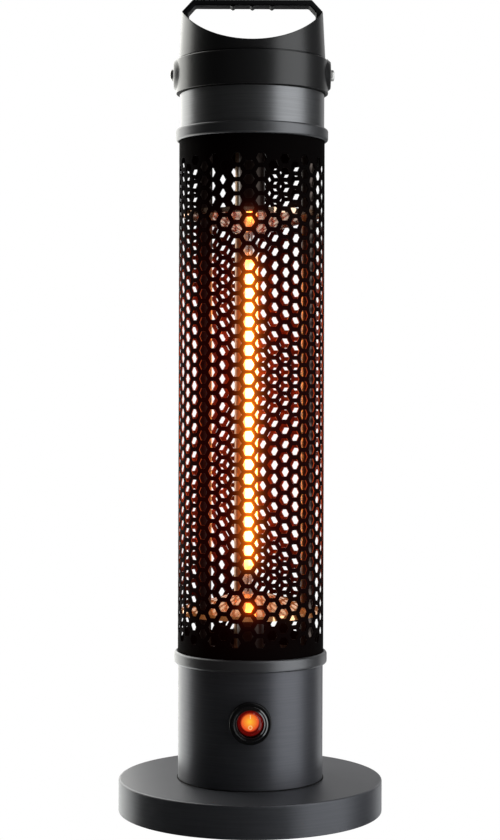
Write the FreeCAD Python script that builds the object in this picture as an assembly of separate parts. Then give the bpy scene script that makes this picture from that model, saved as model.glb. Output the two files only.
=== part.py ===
import FreeCAD
import Part
import os
from math import cos, floor, pi, radians, sin, sqrt, tan

# Infrared patio heater. Millimetres, standing on z = 0 with its axis on z and its switch facing -y.
# Angles around the axis are measured from the front (-y) towards +x.

V = FreeCAD.Vector
UP = V(0, 0, 1)

# Fits shared by several pieces
FIT = 0.2
RUNNING_FIT = 0.05
SCREW_FIT = 0.2

# Base
BASE_RADIUS = 105.5
BASE_HEIGHT = 25.7
BASE_EDGE = 1.6
BASE_SHEET = 1.2
RIM_GAP = 1.5
FOOT_HEIGHT = 2.0
FOOT_RADIUS = 9.0
FOOT_INSET = 17.5
FOOT_COUNT = 4
PLATE_THICKNESS = 1.5
BALLAST_BORE = 30.0
BALLAST_CHAMFER = 2.5
BASE_SCREW_INSET = 25.0
BASE_SCREW_RADIUS = 1.9
BASE_SCREW_DEPTH = 10.0
BASE_SCREW_HEAD_RADIUS = 3.5
BASE_SCREW_HEAD = 1.4

# Column, upper body and the bolts under the column
BODY_RADIUS = 58.0
BODY_SHEET = 1.2
COLUMN_HEIGHT = 95.3
FLANGE_WIDTH = 10.0
FLANGE_SHEET = 1.5
UPPER_BODY_HEIGHT = 55.7
BOLT_COUNT = 4
BOLT_RADIUS = 2.5
BOLT_HEAD_FLATS = 8.0
BOLT_HEAD = 3.5
BOLT_POCKET = 4.6
NUT_THICKNESS = 4.0

# Trim rings and decks
DECK_THICKNESS = 1.5
RING_LEDGE = 2.0
RING_LEDGE_WIDTH = 4.0
RING_SKIRT = 3.3
RING_LIP = 3.1
RING_WALL = 2.5
RING_ROUND = 2.3

# Perforated guard
GUARD_STEP = 0.5
GUARD_WALL = 1.0
GUARD_LENGTH = 414.1
HOLE_PITCH = 11.05
HOLE_WEB = 3.45
FIRST_HOLE = 16.3
LAST_MARGIN = 20.0
PATTERN_TURN = -2.2

# Posts
POST_RADIUS = 5.25
POST_GAP = 1.25
POST_TURN = -49.7
POST_COUNT = 3
POST_HOLE_GAP = 0.35
POST_SCREW_RADIUS = 2.0
POST_SCREW_DEPTH = 12.0
POST_SCREW_HEAD_RADIUS = 3.6
POST_SCREW_HEAD = 2.4

# Reflectors, sleeves and lamp
REFLECTOR_GAP = 1.3
REFLECTOR_SHEET = 0.8
REFLECTOR_RISE = 12.5
REFLECTOR_LIP = 4.0
PLATEAU_MARGIN = 1.5
LAMP_HOLE_GAP = 1.2
LOWER_SLEEVE_LENGTH = 50.3
UPPER_SLEEVE_LENGTH = 77.5
SLEEVE_WALL = 1.5
SLEEVE_BORE = 6.0
CAP_RADIUS = 8.8
CAP_LENGTH = 22.0
CAP_WEB = 4.0
TUBE_RADIUS = 5.0
TUBE_WALL = 1.1
ELEMENT_RADIUS = 2.4
ELEMENT_LENGTH = 243.0
ELEMENT_OFFSET = -1.0
LEAD_RADIUS = 1.0

# Hood with collar and carrying bar
HOOD_FLOOR = 2.5
HOOD_STEP = 0.8
HOOD_WALL = 2.5
HOOD_HEIGHT = 39.4
HOOD_DRAFT = 2.1
COLLAR_HEIGHT = 26.5
COLLAR_WALL = 2.8
COLLAR_EDGE = 1.0
SCOOP_SILL = 8.2
SCOOP_HALF_HEIGHT = 47.0
SCOOP_OVERREACH = 1.2
BAR_RISE = 8.8
BAR_CORNER = 8.1
BAR_INSET = 1.1
BAR_DEPTH = 18.0
BAR_THICKNESS = 4.6
BAR_BEND = 2.0
BAR_EDGE = 1.2
RIDGE_COUNT = 3
RIDGE_PITCH = 15.7
RIDGE_WIDTH = 4.0
RIDGE_HEIGHT = 1.3
PAD_RADIUS = 11.2
PAD_DROP = 11.2
PAD_RISE = 2.0
HANDLE_SCREW_RADIUS = 2.0
HANDLE_SCREW_HEAD_RADIUS = 4.5
HANDLE_SCREW_HEAD = 2.8
HANDLE_SCREW_EDGE = 1.2
HANDLE_NUT_FLATS = 7.0
HANDLE_NUT = 3.0

# Switch
SWITCH_HEIGHT = 53.4
SWITCH_BARREL_RADIUS = 10.8
SWITCH_BARREL_WALL = 1.6
SWITCH_BARREL_LENGTH = 24.0
SWITCH_POCKET = 9.0
SWITCH_FLANGE_RADIUS = 15.8
SWITCH_FLANGE = 1.2
GASKET_RADIUS = 16.4
GASKET_THICKNESS = 2.2
BEZEL_RADIUS = 16.2
BEZEL_BORE = 10.6
BEZEL_HEIGHT = 2.4
BEZEL_EDGE = 1.0
BOOT_FLANGE_RADIUS = 14.5
BOOT_SHEET = 0.8
BOOT_RADIUS = 10.3
BOOT_RISE = 4.7
ROCKER_RADIUS = 8.3
ROCKER_TRAVEL = 20.0
ROCKER_DROP = 2.7
ROCKER_FACE = 3.2
ROCKER_DIP = 1.0
ROCKER_BACK = 2.0
ROCKER_KEEL = 4.5
TRUNNION_RADIUS = 1.2
TRUNNION_SPAN = 10.3
SWITCH_NUT_RADIUS = 14.5
SWITCH_NUT = 4.0
BLADE_PITCH = 12.0
BLADE_WIDTH = 4.8
BLADE_THICKNESS = 0.8
BLADE_LENGTH = 8.0

# Cable gland in the back of the column
GLAND_HEIGHT = 17.8
GLAND_BORE = 3.75
GLAND_BARREL_RADIUS = 8.0
GLAND_BARREL_INSIDE = 12.0
GLAND_BARREL_OUTSIDE = 20.0
GLAND_FLATS = 22.0
GLAND_FLANGE = 5.0
GLAND_SEAL_RADIUS = 12.0
GLAND_SEAL = 1.3
GLAND_CAP_RADIUS = 10.5
GLAND_NUT = 4.0

# Tilt switch inside the column
TILT_FLANGE_GAP = 5.8
TILT_Y = 5.0
TILT_SHEET = 1.5
TILT_GAP = 14.0
TILT_WIDTH = 14.0
TILT_FOOT_LENGTH = 22.0
TILT_PIVOT_HEIGHT = 37.0
TILT_HEAD = 6.0
TILT_PIN_RADIUS = 1.5
ARM_WIDTH = 7.0
ARM_THICKNESS = 3.0
ARM_LENGTH = 22.0
BOB_RADIUS = 8.0
BOB_THICKNESS = 10.0
MICROSWITCH_LENGTH = 20.0
MICROSWITCH_HEIGHT = 10.5
MICROSWITCH_THICKNESS = 6.5
MICROSWITCH_DROP = 12.0

# Terminal block and wires
BLOCK_LENGTH = 36.0
BLOCK_DEPTH = 20.0
BLOCK_HEIGHT = 18.0
BLOCK_GAP = 0.4
BLOCK_ROW = 4.9
WIRE_RADIUS = 1.5
WIRE_HOLE_GAP = 0.7
WIRE_BEND = 8.0
UPPER_WIRE_RISE = 16.0
LOWER_WIRE_DROP = 47.0
SWITCH_WIRE_RUN = 14.0
SWITCH_WIRE_DROP = 25.0

# Levels from the floor up
RIM_Z = RIM_GAP
PLATE_Z = FOOT_HEIGHT
BALLAST_Z = PLATE_Z + PLATE_THICKNESS
BASE_TOP = RIM_Z + BASE_HEIGHT
BALLAST_TOP = BASE_TOP - BASE_SHEET
COLUMN_TOP = BASE_TOP + COLUMN_HEIGHT
LOWER_DECK_TOP = COLUMN_TOP + DECK_THICKNESS
GUARD_BOTTOM = LOWER_DECK_TOP + RING_LEDGE
GUARD_TOP = GUARD_BOTTOM + GUARD_LENGTH
UPPER_DECK_BOTTOM = GUARD_TOP + RING_LEDGE
UPPER_DECK_TOP = UPPER_DECK_BOTTOM + DECK_THICKNESS
BODY_TOP = UPPER_DECK_TOP + UPPER_BODY_HEIGHT
HOOD_Z = BODY_TOP + HOOD_FLOOR
COLLAR_Z = HOOD_Z - COLLAR_HEIGHT
SHOULDER_Z = HOOD_Z + HOOD_HEIGHT
BAR_TOP = SHOULDER_Z + BAR_RISE
PAD_Z = HOOD_Z - PAD_DROP
SWITCH_Z = BASE_TOP + SWITCH_HEIGHT
GLAND_Z = BASE_TOP + GLAND_HEIGHT
TILT_Z = BASE_TOP + TILT_PIVOT_HEIGHT
BLOCK_TOP = BASE_TOP + BLOCK_HEIGHT
LOWER_CAP_Z = LOWER_DECK_TOP + LOWER_SLEEVE_LENGTH
UPPER_CAP_Z = UPPER_DECK_BOTTOM - UPPER_SLEEVE_LENGTH

# Radii that follow from the others
BODY_INSIDE = BODY_RADIUS - BODY_SHEET
BASE_INSIDE = BASE_RADIUS - BASE_SHEET
GUARD_RADIUS = BODY_RADIUS + GUARD_STEP
LEDGE_RADIUS = BODY_RADIUS - RING_LEDGE_WIDTH
POST_CIRCLE = LEDGE_RADIUS - POST_GAP - POST_RADIUS
FLANGE_INSIDE = BODY_INSIDE - FLANGE_WIDTH
BOLT_CIRCLE = BODY_INSIDE - FLANGE_WIDTH / 2
BLOCK_Y = sqrt((FLANGE_INSIDE - BLOCK_GAP) ** 2 - (BLOCK_LENGTH / 2) ** 2) - BLOCK_DEPTH / 2
TILT_X = TILT_FLANGE_GAP + TILT_FOOT_LENGTH / 2 - FLANGE_INSIDE
COLLAR_BORE = BODY_RADIUS + FIT
COLLAR_RADIUS = COLLAR_BORE + COLLAR_WALL
HOOD_RADIUS = BODY_RADIUS + HOOD_STEP
HOOD_TOP_RADIUS = HOOD_RADIUS - HOOD_DRAFT
PAD_FACE = COLLAR_RADIUS + PAD_RISE
SLEEVE_RADIUS = CAP_RADIUS + FIT + SLEEVE_WALL
PLATEAU_RADIUS = SLEEVE_RADIUS + PLATEAU_MARGIN
COLUMNS = 2 * round(pi * GUARD_RADIUS / (HOLE_PITCH * cos(pi / 6)))
COLUMN_ANGLE = 2 * pi / COLUMNS
GUARD_FLAT = GUARD_RADIUS * cos(COLUMN_ANGLE / 2)
GUARD_INSIDE = GUARD_FLAT - GUARD_WALL
REFLECTOR_RADIUS = GUARD_INSIDE - REFLECTOR_GAP
WIRE_CIRCLE = POST_CIRCLE - POST_RADIUS - POST_HOLE_GAP - WIRE_RADIUS - 2 * WIRE_HOLE_GAP - FIT


def around(radius, degrees):
    """Place on a circle about the axis, at an angle from the front."""
    return radius * sin(radians(degrees)), -radius * cos(radians(degrees))


def disc(radius, z0, z1, at=(0, 0)):
    """Upright cylinder between two levels."""
    return Part.makeCylinder(radius, z1 - z0, V(at[0], at[1], z0))


def tube(outer, inner, z0, z1, at=(0, 0)):
    """Upright tube between two levels."""
    return disc(outer, z0, z1, at).cut(disc(inner, z0, z1, at))


def block(x0, x1, y0, y1, z0, z1):
    """Box between two corners."""
    return Part.makeBox(x1 - x0, y1 - y0, z1 - z0, V(x0, y0, z0))


def hexagon(flats, z0, z1, at=(0, 0)):
    """Upright hexagonal prism of a size across flats."""
    corner = flats / sqrt(3)
    points = [V(at[0] + corner * cos(k * pi / 3), at[1] + corner * sin(k * pi / 3), z0) for k in range(6)]
    return Part.Face(Part.makePolygon(points + points[:1])).extrude(V(0, 0, z1 - z0))


def rounded_edges(corners):
    """Closed outline of (u, v, round) corners in the xz plane, with an arc in each rounded corner."""
    ends = []
    for k, (u, v, bend) in enumerate(corners):
        here = V(u, 0, v)
        before = V(corners[k - 1][0], 0, corners[k - 1][1]) - here
        after = V(corners[(k + 1) % len(corners)][0], 0, corners[(k + 1) % len(corners)][1]) - here
        before.normalize()
        after.normalize()
        half = before.getAngle(after) / 2
        middle = before + after
        if bend <= 0 or middle.Length < 1e-6:
            ends.append((here, None, here))
            continue
        middle.normalize()
        reach = bend / tan(half)
        ends.append((here + before * reach, here + middle * (bend / sin(half) - bend), here + after * reach))
    edges = []
    for k, (start, middle, stop) in enumerate(ends):
        if middle:
            edges.append(Part.Arc(start, middle, stop).toShape())
        following = ends[(k + 1) % len(ends)][0]
        if (following - stop).Length > 1e-6:
            edges.append(Part.makeLine(stop, following))
    return edges


def outline_face(corners):
    """Face in the xz plane inside an outline of (u, v, round) corners."""
    return Part.Face(Part.Wire(rounded_edges(corners)))


def turned(corners):
    """Solid turned about the axis from an outline of (radius, z, round) corners."""
    return outline_face(corners).revolve(V(0, 0, 0), UP, 360)


def inset(points, depth):
    """Open line of (u, v) points moved sideways by a depth, to the right of its direction."""
    moved = []
    for k, (u, v) in enumerate(points):
        before = points[max(k - 1, 0)]
        after = points[min(k + 1, len(points) - 1)]
        normals = []
        for start, stop in ((before, (u, v)), ((u, v), after)):
            step = V(stop[0] - start[0], 0, stop[1] - start[1])
            if step.Length > 0:
                step.normalize()
                normals.append(V(step.z, 0, -step.x))
        mean = normals[0] + normals[-1]
        shift = mean * (depth * 2 / mean.dot(mean))
        moved.append((u + shift.x, v + shift.z))
    return moved


def facing(shape, side, z):
    """Turn a shape built up along z so that it points out of the heater at a height."""
    turns = {"front": (V(1, 0, 0), 90), "back": (V(1, 0, 0), -90), "right": (V(0, 1, 0), 90), "left": (V(0, 1, 0), -90)}
    axis, angle = turns[side]
    placed = shape.copy()
    placed.Placement = FreeCAD.Placement(V(0, 0, z), FreeCAD.Rotation(axis, angle))
    return placed


def seat_depth(radius):
    """How far out a flat ring of a radius lies when its sides touch the inside of the column wall."""
    return sqrt(BODY_INSIDE ** 2 - radius ** 2)


def routed(points, radius, bend):
    """Round wire along straight runs with an arc in each corner."""
    edges = []
    start = points[0]
    for before, here, after in zip(points, points[1:], points[2:]):
        arrive = (before - here).normalize()
        leave = (after - here).normalize()
        half = arrive.getAngle(leave) / 2
        first = here + arrive * (bend / tan(half))
        last = here + leave * (bend / tan(half))
        middle = here + (arrive + leave).normalize() * (bend / sin(half) - bend)
        edges.append(Part.makeLine(start, first))
        edges.append(Part.Arc(first, middle, last).toShape())
        start = last
    edges.append(Part.makeLine(start, points[-1]))
    section = Part.Wire(Part.makeCircle(radius, points[0], points[1] - points[0]))
    return Part.Wire(edges).makePipeShell([section], True, False)


def post_places():
    """Centres of the posts."""
    return [around(POST_CIRCLE, POST_TURN + k * 360 / POST_COUNT) for k in range(POST_COUNT)]


def bolt_places():
    """Centres of the bolts that hold the column on the base."""
    return [around(BOLT_CIRCLE, (k + 0.5) * 360 / BOLT_COUNT) for k in range(BOLT_COUNT)]


def foot_places():
    """Centres of the feet."""
    return [around(BASE_RADIUS - FOOT_INSET, k * 360 / FOOT_COUNT) for k in range(FOOT_COUNT)]


def base_screw_places():
    """Centres of the screws that hold the base plate."""
    return [around(BASE_RADIUS - BASE_SCREW_INSET, (k + 0.5) * 360 / FOOT_COUNT) for k in range(FOOT_COUNT)]


def upper_wire_place():
    """Where the wire of the upper lamp end runs down, inside the last post."""
    return around(WIRE_CIRCLE, POST_TURN + (POST_COUNT - 1) * 360 / POST_COUNT)


def wire_hole(z0, z1):
    """Hole for the wire of the upper lamp end."""
    return disc(WIRE_RADIUS + WIRE_HOLE_GAP, z0, z1, upper_wire_place())


def base_pieces():
    """Cover, ballast, plate, feet and the fasteners of the base."""
    cover = turned([
        (0, BASE_TOP, 0), (BASE_RADIUS, BASE_TOP, BASE_EDGE), (BASE_RADIUS, RIM_Z, 0), (BASE_INSIDE, RIM_Z, 0),
        (BASE_INSIDE, BALLAST_TOP, BASE_EDGE - BASE_SHEET), (0, BALLAST_TOP, 0)])
    rim = BASE_INSIDE - FIT
    ballast = turned([
        (BALLAST_BORE, BALLAST_Z, 0), (rim, BALLAST_Z, 0), (rim, BALLAST_TOP - BALLAST_CHAMFER, 0),
        (rim - BALLAST_CHAMFER, BALLAST_TOP, 0), (BALLAST_BORE, BALLAST_TOP, 0)])
    plate = disc(rim, PLATE_Z, BALLAST_Z)
    pocket = BALLAST_Z + BOLT_POCKET
    bolts = []
    nuts = []
    for at in bolt_places():
        hole = disc(BOLT_RADIUS + SCREW_FIT, BALLAST_Z, BASE_TOP, at)
        cover = cover.cut(hole)
        ballast = ballast.cut(hole.fuse(disc(BOLT_HEAD_FLATS / sqrt(3) + SCREW_FIT, BALLAST_Z, pocket, at)))
        tip = BASE_TOP + FLANGE_SHEET + NUT_THICKNESS
        bolts.append(disc(BOLT_RADIUS, pocket, tip + 1, at).fuse(hexagon(BOLT_HEAD_FLATS, pocket - BOLT_HEAD, pocket, at)))
        nut = hexagon(BOLT_HEAD_FLATS, BASE_TOP + FLANGE_SHEET, tip, at)
        nuts.append(nut.cut(disc(BOLT_RADIUS + RUNNING_FIT, BASE_TOP, tip, at)))
    screws = []
    for at in base_screw_places():
        tip = BALLAST_Z + BASE_SCREW_DEPTH
        plate = plate.cut(disc(BASE_SCREW_RADIUS + SCREW_FIT, PLATE_Z, BALLAST_Z, at))
        ballast = ballast.cut(disc(BASE_SCREW_RADIUS + RUNNING_FIT, BALLAST_Z, tip, at))
        head = disc(BASE_SCREW_HEAD_RADIUS, PLATE_Z - BASE_SCREW_HEAD, PLATE_Z, at)
        screws.append(head.fuse(disc(BASE_SCREW_RADIUS, PLATE_Z, tip, at)))
    feet = [disc(FOOT_RADIUS, 0, FOOT_HEIGHT, at) for at in foot_places()]
    return {
        "base_cover": cover, "ballast_block": ballast, "base_plate": plate, "rubber_feet": Part.makeCompound(feet),
        "base_screws": Part.makeCompound(screws), "column_bolts": Part.makeCompound(bolts),
        "column_nuts": Part.makeCompound(nuts)}


def trim_ring(deck, facing_up):
    """Ring between a body and the guard, its ledge lying on a deck face and its lip pointing up or down."""
    side = 1 if facing_up else -1
    lip = deck + side * (RING_LEDGE + RING_LIP)
    skirt = deck - side * (DECK_THICKNESS + RING_SKIRT)
    ledge = deck + side * RING_LEDGE
    outer = GUARD_RADIUS + FIT + RING_WALL
    return turned([
        (outer, skirt, RING_ROUND), (outer, lip, RING_ROUND), (GUARD_RADIUS + FIT, lip, 0),
        (GUARD_RADIUS + FIT, ledge, 0), (LEDGE_RADIUS, ledge, 0), (LEDGE_RADIUS, deck, 0),
        (BODY_RADIUS + FIT, deck, 0), (BODY_RADIUS + FIT, skirt, 0)])


def deck_plate(z0, z1):
    """Plate that carries the posts and a sleeve, with holes for screws and wires."""
    plate = disc(BODY_RADIUS, z0, z1).cut(disc(SLEEVE_BORE, z0, z1))
    for at in post_places():
        plate = plate.cut(disc(POST_SCREW_RADIUS + SCREW_FIT, z0, z1, at))
    return plate.cut(wire_hole(z0, z1))


def column_pieces():
    """Column and upper body, the rings and the decks."""
    flange = BASE_TOP + FLANGE_SHEET
    column = turned([
        (BODY_RADIUS, BASE_TOP, 0), (BODY_RADIUS, COLUMN_TOP, 0), (BODY_INSIDE, COLUMN_TOP, 0), (BODY_INSIDE, flange, 0),
        (FLANGE_INSIDE, flange, 0), (FLANGE_INSIDE, BASE_TOP, 0)])
    for at in bolt_places():
        column = column.cut(disc(BOLT_RADIUS + SCREW_FIT, BASE_TOP, flange, at))
    column = column.cut(facing(disc(SWITCH_BARREL_RADIUS + FIT, 0, BODY_RADIUS + 1), "front", SWITCH_Z))
    column = column.cut(facing(disc(GLAND_BARREL_RADIUS + FIT, 0, BODY_RADIUS + 1), "back", GLAND_Z))
    upper = tube(BODY_RADIUS, BODY_INSIDE, UPPER_DECK_TOP, BODY_TOP)
    for side in ("left", "right"):
        upper = upper.cut(facing(disc(HANDLE_SCREW_RADIUS + SCREW_FIT, 0, BODY_RADIUS + 1), side, PAD_Z))
    return {
        "lower_column": column, "upper_body": upper, "lower_trim_ring": trim_ring(LOWER_DECK_TOP, True),
        "upper_trim_ring": trim_ring(UPPER_DECK_BOTTOM, False), "lower_deck": deck_plate(COLUMN_TOP, LOWER_DECK_TOP),
        "upper_deck": deck_plate(UPPER_DECK_BOTTOM, UPPER_DECK_TOP)}


def guard_piece():
    """Perforated guard, one flat for each column of hexagonal holes."""
    size = (HOLE_PITCH - HOLE_WEB) / sqrt(3)
    rows = 1 + floor((GUARD_LENGTH - FIRST_HOLE - LAST_MARGIN) / HOLE_PITCH)

    def spot(apothem, turn, s, z):
        return V(apothem * sin(turn) + s * cos(turn), -apothem * cos(turn) + s * sin(turn), z)

    def loop(points):
        return Part.makePolygon(points + points[:1])

    faces = []
    for k in range(COLUMNS):
        turn = radians(PATTERN_TURN) + k * COLUMN_ANGLE
        odd = k % 2
        first = GUARD_BOTTOM + FIRST_HOLE + (0 if odd else HOLE_PITCH / 2)
        levels = [first + j * HOLE_PITCH for j in range(rows if odd else rows - 1)]
        holes = {}
        for apothem in (GUARD_FLAT, GUARD_INSIDE):
            half = apothem * tan(COLUMN_ANGLE / 2)
            frame = [(-half, GUARD_BOTTOM), (half, GUARD_BOTTOM), (half, GUARD_TOP), (-half, GUARD_TOP)]
            holes[apothem] = [
                [spot(apothem, turn, size * cos(n * pi / 3), z + size * sin(n * pi / 3)) for n in range(6)]
                for z in levels]
            sheet = loop([spot(apothem, turn, s, z) for s, z in frame])
            faces.append(Part.Face([sheet] + [loop(points[::-1]) for points in holes[apothem]]))
        for outer, inner in zip(holes[GUARD_FLAT], holes[GUARD_INSIDE]):
            for n in range(6):
                m = (n + 1) % 6
                faces.append(Part.Face(loop([outer[n], outer[m], inner[m], inner[n]])))
    for z in (GUARD_BOTTOM, GUARD_TOP):
        rims = []
        for apothem in (GUARD_FLAT, GUARD_INSIDE):
            half = apothem * tan(COLUMN_ANGLE / 2)
            rims.append(loop([spot(apothem, radians(PATTERN_TURN) + k * COLUMN_ANGLE, half, z) for k in range(COLUMNS)]))
        faces.append(Part.makeFace(rims, "Part::FaceMakerBullseye"))
    shell = Part.makeShell(faces)
    shell.sewShape()
    solid = Part.Solid(shell)
    if solid.Volume < 0:
        solid.reverse()
    return {"guard": solid}


def post_pieces():
    """Posts between the decks and the screws in their ends."""
    bore = POST_SCREW_RADIUS + RUNNING_FIT
    pieces = {}
    screws = []
    for name, at in zip(("left", "right", "rear"), post_places()):
        pieces["support_post_" + name] = tube(POST_RADIUS, bore, LOWER_DECK_TOP, UPPER_DECK_BOTTOM, at)
        low = disc(POST_SCREW_HEAD_RADIUS, COLUMN_TOP - POST_SCREW_HEAD, COLUMN_TOP, at)
        screws.append(low.fuse(disc(POST_SCREW_RADIUS, COLUMN_TOP, LOWER_DECK_TOP + POST_SCREW_DEPTH, at)))
        high = disc(POST_SCREW_HEAD_RADIUS, UPPER_DECK_TOP, UPPER_DECK_TOP + POST_SCREW_HEAD, at)
        screws.append(high.fuse(disc(POST_SCREW_RADIUS, UPPER_DECK_BOTTOM - POST_SCREW_DEPTH, UPPER_DECK_TOP, at)))
    pieces["post_screws"] = Part.makeCompound(screws)
    return pieces


def reflector(seat, side):
    """Cone of sheet that lies on a sleeve end, its middle pointing up (side 1) or down (side -1)."""
    face = seat + side * REFLECTOR_SHEET
    rim = face - side * REFLECTOR_RISE
    edge = rim - side * REFLECTOR_LIP
    inside = REFLECTOR_RADIUS - REFLECTOR_SHEET
    bore = TUBE_RADIUS + LAMP_HOLE_GAP
    cone = turned([
        (bore, face, 0), (PLATEAU_RADIUS, face, 0), (REFLECTOR_RADIUS, rim, 0), (REFLECTOR_RADIUS, edge, 0),
        (inside, edge, 0), (inside, rim - side * REFLECTOR_SHEET, 0), (PLATEAU_RADIUS, seat, 0), (bore, seat, 0)])
    low, high = sorted((face + side, edge - side))
    for at in post_places():
        cone = cone.cut(disc(POST_RADIUS + POST_HOLE_GAP, low, high, at))
    return cone.cut(wire_hole(low, high))


def sleeve(deck, seat):
    """Tube from a deck to a reflector, with a pocket for the ceramic end of the lamp."""
    side = 1 if seat > deck else -1
    shoulder = seat - side * CAP_LENGTH
    return turned([
        (SLEEVE_BORE, deck, 0), (SLEEVE_RADIUS, deck, 0), (SLEEVE_RADIUS, seat, 0), (CAP_RADIUS + FIT, seat, 0),
        (CAP_RADIUS + FIT, shoulder, 0), (SLEEVE_BORE, shoulder, 0)])


def lamp_cap(seat, side):
    """Ceramic end of the lamp: a socket for the tube with a hole for the lead in its floor."""
    back = seat - side * CAP_LENGTH
    stop = back + side * CAP_WEB
    socket = TUBE_RADIUS + FIT
    lead = LEAD_RADIUS + RUNNING_FIT
    return turned([
        (lead, back, 0), (CAP_RADIUS, back, 0), (CAP_RADIUS, seat, 0), (socket, seat, 0), (socket, stop, 0), (lead, stop, 0)])


def lamp_pieces():
    """Quartz lamp on the axis with its holders and the two reflectors."""
    low_back = LOWER_CAP_Z - CAP_LENGTH
    high_back = UPPER_CAP_Z + CAP_LENGTH
    middle = (LOWER_CAP_Z + UPPER_CAP_Z) / 2 + ELEMENT_OFFSET
    glow_low = middle - ELEMENT_LENGTH / 2
    glow_high = middle + ELEMENT_LENGTH / 2
    return {
        "lower_sleeve": sleeve(LOWER_DECK_TOP, LOWER_CAP_Z), "upper_sleeve": sleeve(UPPER_DECK_BOTTOM, UPPER_CAP_Z),
        "lower_reflector": reflector(LOWER_CAP_Z, 1), "upper_reflector": reflector(UPPER_CAP_Z, -1),
        "lower_lamp_cap": lamp_cap(LOWER_CAP_Z, 1), "upper_lamp_cap": lamp_cap(UPPER_CAP_Z, -1),
        "quartz_tube": tube(TUBE_RADIUS, TUBE_RADIUS - TUBE_WALL, low_back + CAP_WEB, high_back - CAP_WEB),
        "carbon_element": disc(ELEMENT_RADIUS, glow_low, glow_high),
        "lower_lamp_lead": disc(LEAD_RADIUS, low_back, glow_low),
        "upper_lamp_lead": disc(LEAD_RADIUS, glow_high, high_back)}


def bar_strap():
    """Bent strap of the carrying bar with its legs and finger ridges."""
    half = HOOD_TOP_RADIUS - BAR_INSET
    outer = [
        (-half, HOOD_Z), (-half, SHOULDER_Z), (BAR_CORNER - half, BAR_TOP), (half - BAR_CORNER, BAR_TOP), (half, SHOULDER_Z),
        (half, HOOD_Z)]
    inner = inset(outer, BAR_THICKNESS)
    bends = [0] + [BAR_BEND] * (len(outer) - 2) + [0]
    corners = [(u, v, bend) for (u, v), bend in zip(outer, bends)]
    corners += [(u, v, bend) for (u, v), bend in zip(inner, bends)][::-1]
    strap = outline_face(corners).extrude(V(0, BAR_DEPTH, 0))
    strap.translate(V(0, -BAR_DEPTH / 2, 0))
    long_edges = [
        edge for edge in strap.Edges
        if edge.BoundBox.YLength < 1e-6 and edge.BoundBox.ZMax > HOOD_Z + 1e-6]
    strap = strap.makeFillet(BAR_EDGE, long_edges)
    under = BAR_TOP - BAR_THICKNESS
    for k in range(RIDGE_COUNT):
        x = (k - (RIDGE_COUNT - 1) / 2) * RIDGE_PITCH
        depth = BAR_DEPTH - 2 * BAR_EDGE
        ridge = outline_face([
            (x - RIDGE_WIDTH / 2, under + BAR_EDGE, 0), (x - RIDGE_WIDTH / 2, under, 0), (x, under - RIDGE_HEIGHT, RIDGE_HEIGHT / 2),
            (x + RIDGE_WIDTH / 2, under, 0), (x + RIDGE_WIDTH / 2, under + BAR_EDGE, 0)]).extrude(V(0, depth, 0))
        ridge.translate(V(0, -depth / 2, 0))
        strap = strap.fuse(ridge)
    return strap


def scoop_cut(reach):
    """Space over the hood from front to back, with half an ellipse as its floor."""
    width = HOOD_RADIUS + SCOOP_OVERREACH
    height = SCOOP_HALF_HEIGHT
    arc = Part.ArcOfEllipse(Part.Ellipse(V(0, 0, 0), width, height), pi, 2 * pi).toShape()
    rim = Part.makePolygon([V(width, 0, 0), V(width, height, 0), V(-width, height, 0), V(-width, 0, 0)])
    scoop = Part.Face(Part.Wire([arc] + rim.Edges)).extrude(V(0, 0, 2 * reach))
    centre = V(0, reach, HOOD_Z + SCOOP_SILL + height)
    scoop.Placement = FreeCAD.Placement(centre, FreeCAD.Rotation(V(1, 0, 0), 90))
    return scoop


def handle_pieces():
    """Hood moulding with its collar, scoop and carrying bar, and the screws through its pads."""
    hood = turned([
        (0, HOOD_Z, 0), (HOOD_RADIUS - HOOD_WALL, HOOD_Z, 0), (HOOD_TOP_RADIUS - HOOD_WALL, SHOULDER_Z, 0),
        (HOOD_TOP_RADIUS, SHOULDER_Z, 0), (HOOD_RADIUS, HOOD_Z, 0), (COLLAR_RADIUS, HOOD_Z, COLLAR_EDGE),
        (COLLAR_RADIUS, COLLAR_Z, COLLAR_EDGE), (COLLAR_BORE, COLLAR_Z, 0), (COLLAR_BORE, BODY_TOP, 0), (0, BODY_TOP, 0)])
    reach = 2 * COLLAR_RADIUS
    scoop = scoop_cut(reach)
    ears = hood.common(block(-reach, reach, -BAR_DEPTH / 2, BAR_DEPTH / 2, HOOD_Z, SHOULDER_Z))
    moulding = hood.cut(scoop).fuse([ears, bar_strap()])
    screws = []
    nuts = []
    for side in ("left", "right"):
        pad = facing(disc(PAD_RADIUS, 0, PAD_FACE), side, PAD_Z)
        pad = pad.cut(disc(COLLAR_RADIUS - COLLAR_WALL / 2, COLLAR_Z, HOOD_Z))
        hole = facing(disc(HANDLE_SCREW_RADIUS + SCREW_FIT, BODY_INSIDE, PAD_FACE), side, PAD_Z)
        moulding = moulding.fuse(pad).cut(hole)
        seat = seat_depth(HANDLE_NUT_FLATS / sqrt(3))
        head = turned([
            (0, PAD_FACE, 0), (HANDLE_SCREW_HEAD_RADIUS, PAD_FACE, 0),
            (HANDLE_SCREW_HEAD_RADIUS, PAD_FACE + HANDLE_SCREW_HEAD, HANDLE_SCREW_EDGE), (0, PAD_FACE + HANDLE_SCREW_HEAD, 0)])
        screws.append(facing(head.fuse(disc(HANDLE_SCREW_RADIUS, seat - HANDLE_NUT - 1, PAD_FACE)), side, PAD_Z))
        nut = hexagon(HANDLE_NUT_FLATS, seat - HANDLE_NUT, seat)
        nuts.append(facing(nut.cut(disc(HANDLE_SCREW_RADIUS + RUNNING_FIT, 0, seat)), side, PAD_Z))
    return {
        "carry_handle": moulding.removeSplitter(), "handle_screws": Part.makeCompound(screws),
        "handle_nuts": Part.makeCompound(nuts)}


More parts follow.
